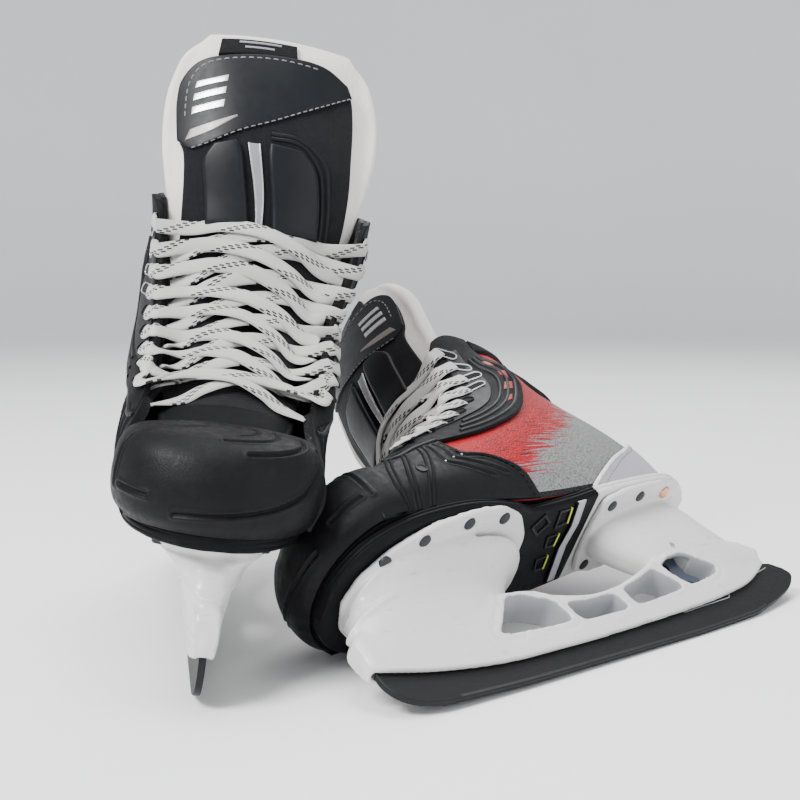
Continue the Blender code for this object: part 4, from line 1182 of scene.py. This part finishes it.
def strand(side, k):
    """From under one edge, over the tongue, over the other edge, to eyelet k.

    Side 0 starts at the outer edge and side 1 at the inner one.
    """
    lift = LACE_RISES[side]
    sign = 1 if side == 0 else -1
    start_t, end_t = edge_row(k - TUCK), edge_row(k)
    start_s, end_s = (0.0, COLUMNS) if side == 0 else (COLUMNS, 0.0)
    eye_s, eye_t = EYELETS[k]
    eye_s = COLUMNS - eye_s if side == 0 else eye_s
    path, facing = [], []

    def add(point, out):
        path.append(point)
        facing.append(out)

    under, edge = normal(boot, start_s, start_t), boot(start_s, start_t)
    back = boot(abs(start_s - 0.3), start_t) - edge      # away from the throat
    add(edge - 3.0 * under + 0.4 * back, under)
    for share in (0.72, 0.4, 0.0, -0.4, -0.72):
        row = start_t + (end_t - start_t) * (0.5 - share / 1.7)
        arch = ARCH if k > 1 else LOWEST_ARCH
        v = np.interp(row, LACE_ROW_T, LACE_ROW_V) + arch * (1 - share ** 2)
        v += SWAY * math.sin(3.1 * k + 2 * share + 2 * side)
        out = normal(tongue, sign * share, v)
        rise = lift * (1.0 - 0.45 * abs(share)) + 0.5 * math.sin(2.3 * k + 3 * share)
        tilt = TILT * math.sin(1.7 * k + 2.5 * share + side)
        add(tongue(sign * share, v) + out * rise, unit(out + np.array([0, 0, tilt])))
    out = normal(boot, end_s, end_t)
    off = unit(boot(end_s, end_t) - boot(abs(end_s - 0.3), end_t))
    add(boot(end_s, end_t) + out * (FACING_HIGH + 1.2) + off * 1.5, unit(out + 0.4 * off))
    for share in (0.35, 0.7, 0.95):
        place = end_s + (eye_s - end_s) * share, end_t + (eye_t - end_t) * share
        lay(path, facing, boot, place, FACING_HIGH + 1.5)
    out = normal(boot, eye_s, eye_t)
    ahead = unit(path[-1] - path[-2])
    add(boot(eye_s, eye_t) + out * (FACING_HIGH - 0.6) + ahead * 1.5, unit(out + 0.8 * ahead))
    return ribbon(path, facing)


def make_lace():
    """Two strands to each pair of eyelets, and one straight bar at the lowest pair."""
    strands = [strand(side, k) for k in range(1, len(EYELETS)) for side in (0, 1)]
    start, on_facing = [EYELETS[0], (0.1, 3.25)], FACING_HIGH + 1.4
    arch, on_tongue = 0.36, 8.0
    v = np.interp(edge_row(0), LACE_ROW_T, LACE_ROW_V) + arch
    path, facing = [], []
    for place in start:
        lay(path, facing, boot, place, on_facing)
    for share in (0.6, 0.0, -0.6):
        lay(path, facing, tongue, (share, v), on_tongue)
    for place in mirror(start[::-1]):
        lay(path, facing, boot, place, on_facing)
    strands.append(ribbon(path, facing))
    emit("laces", merge(*strands), LACE, "boot", ["lace"], sharp=70)


# ------------------------------------------------------------------ the holder
# the rail from front to rear: (x, lower edge, upper edge)
RAIL = [(132, 25, 40), (126, 22.5, 44), (100, 16, 44), (66, 11.5, 46), (30, 11, 45),
        (14, 11, 38.5), (0, 11.2, 35.3), (-12, 11.6, 34.3), (-30, 12.2, 36), (-50, 13, 41),
        (-66, 13.8, 46), (-90, 15.5, 50), (-119, 19.5, 50), (-136, 25, 46), (-147, 30, 38)]
# the towers from below: (z, front, rear, half-width)
FRONT_TOWER = [(26, 132.5, 34, 5.2), (31, 132.8, 34, 7), (40, 130.5, 36, 9.2),
               (50, 125, 34, 12.5), (57, 121, 26, 18), (62, 118.5, 16, 25),
               (65.5, 117, 14, 29)]
REAR_TOWER = [(34, -70, -150, 7.5), (44, -67, -142, 9.5), (54, -59, -137, 11.5),
              (64, -52, -132.5, 13), (73, -49, -129, 14.5), (79.5, -51, -122, 16)]
# outlines of (x, y) under the sole
FRONT_FLANGE = [(120, 2), (115, 16), (100, 29), (80, 37.5), (55, 40.5), (36, 39.5), (20, 32),
                (10.5, 18), (9, 0), (10.5, -18), (20, -31), (36, -37), (55, -38.5), (80, -36),
                (100, -28), (115, -15)]
REAR_FLANGE = [(-48, 10), (-50.5, 26), (-68, 29.5), (-103, 28.5), (-119, 18), (-126, 4),
               (-119, -13), (-103, -24), (-68, -26), (-52, -22), (-48, -8)]
# outlines of (x, z) that are cut through the holder
WINDOWS = [
    [(61, 24), (53, 32), (43, 43), (33, 42), (18.5, 35.5), (14, 22)],
    [(12.5, 32.2), (-2, 31), (-21, 31.2), (-25, 21.5), (9, 21)],
    [(-28.5, 32.5), (-46, 36.3), (-60, 40.5), (-73, 25.5), (-31, 21.8)],
    [(-67, 41), (-78, 45.5), (-89, 46), (-106.5, 34), (-102, 29.5), (-77, 26)],
]
SLOT = [(130.6, 30.4), (97, 30.4), (93.4, 17.7), (20, 16.4), (-60, 16.9), (-89, 18.8),
        (-89.6, 32), (-101, 32), (-102, 22.2), (-119, 25.2), (-136, 30.8), (-148, 34.2),
        (-170, 34.2), (-170, -5), (130.6, -5)]
NOSE_RIDGES = (48.0, 57.5)     # heights of the ridges at the holder's nose
TRIGGER_CAVITY = [(-93.5, 49), (-92, 55), (-89, 58), (-83, 58), (-79, 55), (-77, 49),
                  (-74, 42), (-80, 34), (-92, 34), (-95, 42)]


def oval(z, front, rear, half, sides=32):
    """One level ring of a tower."""
    middle, reach = (front + rear) / 2, (front - rear) / 2
    turn = 2 * np.pi * (np.arange(sides) + 0.5) / sides
    c, s = np.cos(turn), np.sin(turn)
    return np.stack([middle + reach * np.sign(c) * np.abs(c) ** 0.7,
                     half * np.sign(s) * np.abs(s) ** 0.8, z + 0 * c], -1)


def rail_ring(x, low, high):
    """The rail's section at x."""
    wide = min(np.interp(high, [18, 40, 60], [6.0, 9.0, 9.5]),
               np.interp(x, [98, 118, 132], [9.5, 7.5, 5.0]))
    narrow = min(4.7, wide - 1.2)
    middle = 0.5 * (low + high)
    return [(x, narrow, low), (x, narrow + 1, min(low + 7, middle)), (x, wide, high - 1.5),
            (x, wide - 1.5, high), (x, 1.5 - wide, high), (x, -wide, high - 1.5),
            (x, -narrow - 1, min(low + 7, middle)), (x, -narrow, low)]


def rounded(outline, radius_share=0.22):
    """The outline with each corner replaced by a short curve."""
    pts = np.asarray(outline, float)
    made = []
    for k in range(len(pts)):
        before, here, after = pts[k - 1], pts[k], pts[(k + 1) % len(pts)]
        a = here + (before - here) * radius_share
        b = here + (after - here) * radius_share
        for w in np.linspace(0, 1, 5):
            made.append((1 - w) ** 2 * a + 2 * w * (1 - w) * here + w ** 2 * b)
    return made


def evaluated(obj):
    """The finished mesh of a helper object: its points in millimetres, and its faces."""
    graph = bpy.context.evaluated_depsgraph_get()
    mesh = obj.evaluated_get(graph).to_mesh()
    points = np.empty(len(mesh.vertices) * 3)
    mesh.vertices.foreach_get("co", points)
    faces = [tuple(p.vertices) for p in mesh.polygons]
    obj.evaluated_get(graph).to_mesh_clear()
    return points.reshape(-1, 3) / MM, faces


def flange(outline):
    """The thin plate of a tower that is riveted to the sole."""
    outline = np.asarray(rounded(outline))
    rings = []
    for inset, drop in ((0, 0.4), (0, 2.4), (0.02, FLANGE_THICK + 0.4)):
        middle = outline.mean(axis=0)
        shrunk = outline + (middle - outline) * inset
        rings.append([(x, y, sole_top(x) - SOLE_THICK - drop) for x, y in shrunk])
    return loft(rings)


def make_holder():
    """Lofted rail and towers, windows cut out, then remeshed so that every edge is soft."""
    steps = 120
    rail = along([np.ravel(rail_ring(*r)) for r in RAIL], steps)
    solids = [loft(rail.reshape(steps, -1, 3))]
    for tower in (FRONT_TOWER, REAR_TOWER):
        solids.append(loft([oval(*r) for r in along(tower, 30)]))
    solids += [flange(FRONT_FLANGE), flange(REAR_FLANGE)]
    quick_voxel, full_voxel = 1.6, 0.8
    voxel = MM * full_voxel
    blocks = add_object("holder_blocks", mesh_from("holder_blocks", merge(*solids)))
    modifier(blocks, "REMESH", mode="VOXEL", voxel_size=voxel)
    helpers = [blocks]
    cuts = [plate(rounded(w), -40, 40) for w in WINDOWS]
    cuts += [plate(SLOT, -1.9, 1.9), plate(TRIGGER_CAVITY, -6.2, 6.2)]
    for cut in cuts:
        helper = add_object("holder_cut", mesh_from("holder_cut", cut))
        helpers.append(helper)
        modifier(blocks, "BOOLEAN", operation="DIFFERENCE", object=helper, solver="EXACT")
    modifier(blocks, "REMESH", mode="VOXEL", voxel_size=voxel)
    modifier(blocks, "SMOOTH", factor=0.5, iterations=3)
    points, faces = evaluated(blocks)
    for helper in helpers:
        bpy.data.objects.remove(helper, do_unlink=True)
    points = moulded_lines(points)
    shape = points, faces, points[:, [0, 2]] * 0.01
    # the faces lining the windows take the darker grey, painted shade
    emit("blade_holder", shape, WHITE, "boot", ["holder"], sharp=80, recalc=False,
         second=(HOLDER_PAINTED_SHADE, painted_shade_walls(points, faces)))
    make_fasteners()


def painted_shade_walls(points, faces):
    """Which faces line the windows through the holder; they take a darker grey, painted shade
    inside the windows.
    """
    corners = points[np.array([f[:4] for f in faces])]
    centre = corners.mean(axis=1)[:, [0, 2]]
    facing = unit(np.cross(corners[:, 2] - corners[:, 0], corners[:, 3] - corners[:, 1]))
    near = np.zeros(len(faces), bool)
    for window in WINDOWS:
        outline = np.asarray(rounded(window))
        fine = np.concatenate([np.linspace(a, b, 6) for a, b in
                               zip(outline, np.roll(outline, -1, axis=0))])
        near |= nearest(centre, fine) < 1.3
    return near & (np.abs(facing[:, 1]) < 0.5)


def ridge(away):
    """The height across a moulded ridge, fuller below its level than above."""
    return np.exp(-(away / 1.6) ** 2) * (1 - 0.6 * np.tanh(away / 0.9))


def moulded_lines(points):
    """Raised curved ridges on the nose, and a groove round the first and last window."""
    x, y, z = points.T
    push = np.zeros(len(points))
    span = np.clip((132 - x) / 40, 0, 1)
    fade = np.clip((x - 100) / 10, 0, 1)
    for level in NOSE_RIDGES:
        push += 1.2 * fade * ridge(z - level - 6 * np.sin(span * math.pi / 2))
    side_point = np.stack([x, z], -1)
    for window, gap in ((WINDOWS[0], 4.2), (WINDOWS[3], 3.6)):
        away = nearest(side_point, rounded(window))
        push -= 0.35 * np.exp(-((away - gap) / 1.3) ** 2) * (np.abs(y) > 3)
    made = points.copy()
    made[:, 1] += push * np.clip(y / 4, -1, 1)
    nose = np.clip((x - 119) / 6, 0, 1) * (np.abs(y) < 12)
    for level in NOSE_RIDGES:
        made[:, 0] += 1.3 * nose * ridge(z - level)
    return made


def dome(x, y, z, radius):
    """A rivet head that bulges downwards."""
    profile = [(radius * 0.6, 1.5), (radius, 1.2), (radius, 0.2), (radius * 0.93, -0.4),
               (radius * 0.8, -0.6), (radius * 0.5, -0.75), (radius * 0.1, -0.8)]
    return lathe(profile, (x, y, z), (0, 0, 1), 24)


def make_fasteners():
    """Rivet heads under the flanges."""
    heads = []
    for x, outer, inner in ((104, 22, 21), (84, 30, 29), (58, 34.5, 32.5), (34, 33, 31),
                            (-58, 21, 18), (-82, 22.5, 19.5)):
        under = sole_top(x) - SOLE_THICK - FLANGE_THICK - 0.6
        heads += [dome(x, outer, under, 3.3), dome(x, -inner, under, 3.3)]
    emit("rivet_heads", merge(*heads), RIVET, "boot")
    x = -106
    under = sole_top(x) - SOLE_THICK - FLANGE_THICK - 1.2
    for side, node in ((1, "heel_rivet_lateral"), (-1, "heel_rivet_medial")):
        emit(node + "_head", dome(x, 20.5 * side, under, 3.6), COPPER, "boot", [node])


# the runner's upper outline from front to rear, in (x, z)
RUNNER_TOP = [(129.8, 24), (127, 27), (98.5, 27), (95, 16.8), (20, 15.6), (-60, 16),
              (-91.5, 18), (-92.6, 30.5), (-99.6, 30.5), (-100.8, 20.5), (-119, 24.2),
              (-136, 29.6), (-148, 32.6), (-156, 31), (-162, 25.5)]


def rocker(x):
    """The height of the runner's lower edge: flat in the middle, rising to both ends."""
    return (x * x - 3600) / 4400 * (abs(x) > 60) + max(0, abs(x) - 110) * 0.15


def make_runner():
    """The runner with its stepped line and its ground edge."""
    tail = along([(-162, 25.5), (-163.5, 21), (-160, 17), (-150, 11.5), (-132, rocker(-132))],
                 16)
    nose = along([(108, rocker(108)), (119, 5), (126, 10), (129.6, 17), (129.8, 24)], 16)
    edge = [(x, rocker(x)) for x in np.linspace(-126, 104, 60)]
    outline = RUNNER_TOP[:-1] + [tuple(p) for p in tail] + edge + [tuple(p) for p in nose[:-1]]
    emit("runner_blade", plate(outline, -1.5, 1.5), GUNMETAL, "runner_body", ["runner"],
         bevel=0.35, sharp=30)
    line = [(-60, 13.6), (-100, 15.4), (-104, 18.6), (-132, 25.2), (-150, 28.6)]
    strip = [(x, z + 0.3) for x, z in line] + [(x, z - 0.3) for x, z in line[::-1]]
    polished = [(x, rocker(x) + 0.4) for x in np.linspace(-120, 100, 50)]
    polished += [(x, rocker(x) + 1.8) for x in np.linspace(100, -120, 50)]
    emit("runner_line", plate(strip, -1.60, 1.60), STEEL, "runner_body")
    emit("runner_ground_edge", plate(polished, -1.55, 1.55), EDGE_STEEL, "runner_body")


def keep_cad_nodes():
    """The trigger, its pin and its spring keep their CAD shapes in finished materials."""
    for prefix in SKATES:
        for node, material in (("trigger", SLATE), ("trigger_pin", STEEL),
                               ("trigger_spring", STEEL)):
            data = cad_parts[f"{prefix}_{node}"].data
            data.materials.clear()
            data.materials.append(material)


def make_floor():
    """A wide pale floor whose far edge curves up into a low wall."""
    profile = [(0.001, 0), (2.6, 0), (3.0, 0.02), (3.3, 0.1), (3.55, 0.3), (3.65, 0.6),
               (3.7, 1.3)]
    sides = 96
    points = [(x, y, z + cad_box[0][2]) for r, z in profile for x, y in circle(r, sides)]
    faces = [quad[::-1] for quad in tube_faces(len(profile), sides)[2:]]
    mesh = bpy.data.meshes.new("floor")
    mesh.from_pydata(points, [], faces)
    mesh.polygons.foreach_set("use_smooth", [True] * len(faces))
    floor = add_object("floor", mesh)
    floor.data.materials.append(floor_finish())


make_camera()
make_light()
make_floor()
make_shell()
make_facings()
make_vamp()
make_heel()
make_toe()
make_soles()
make_tongue()
make_lace()
make_holder()
make_runner()
keep_cad_nodes()
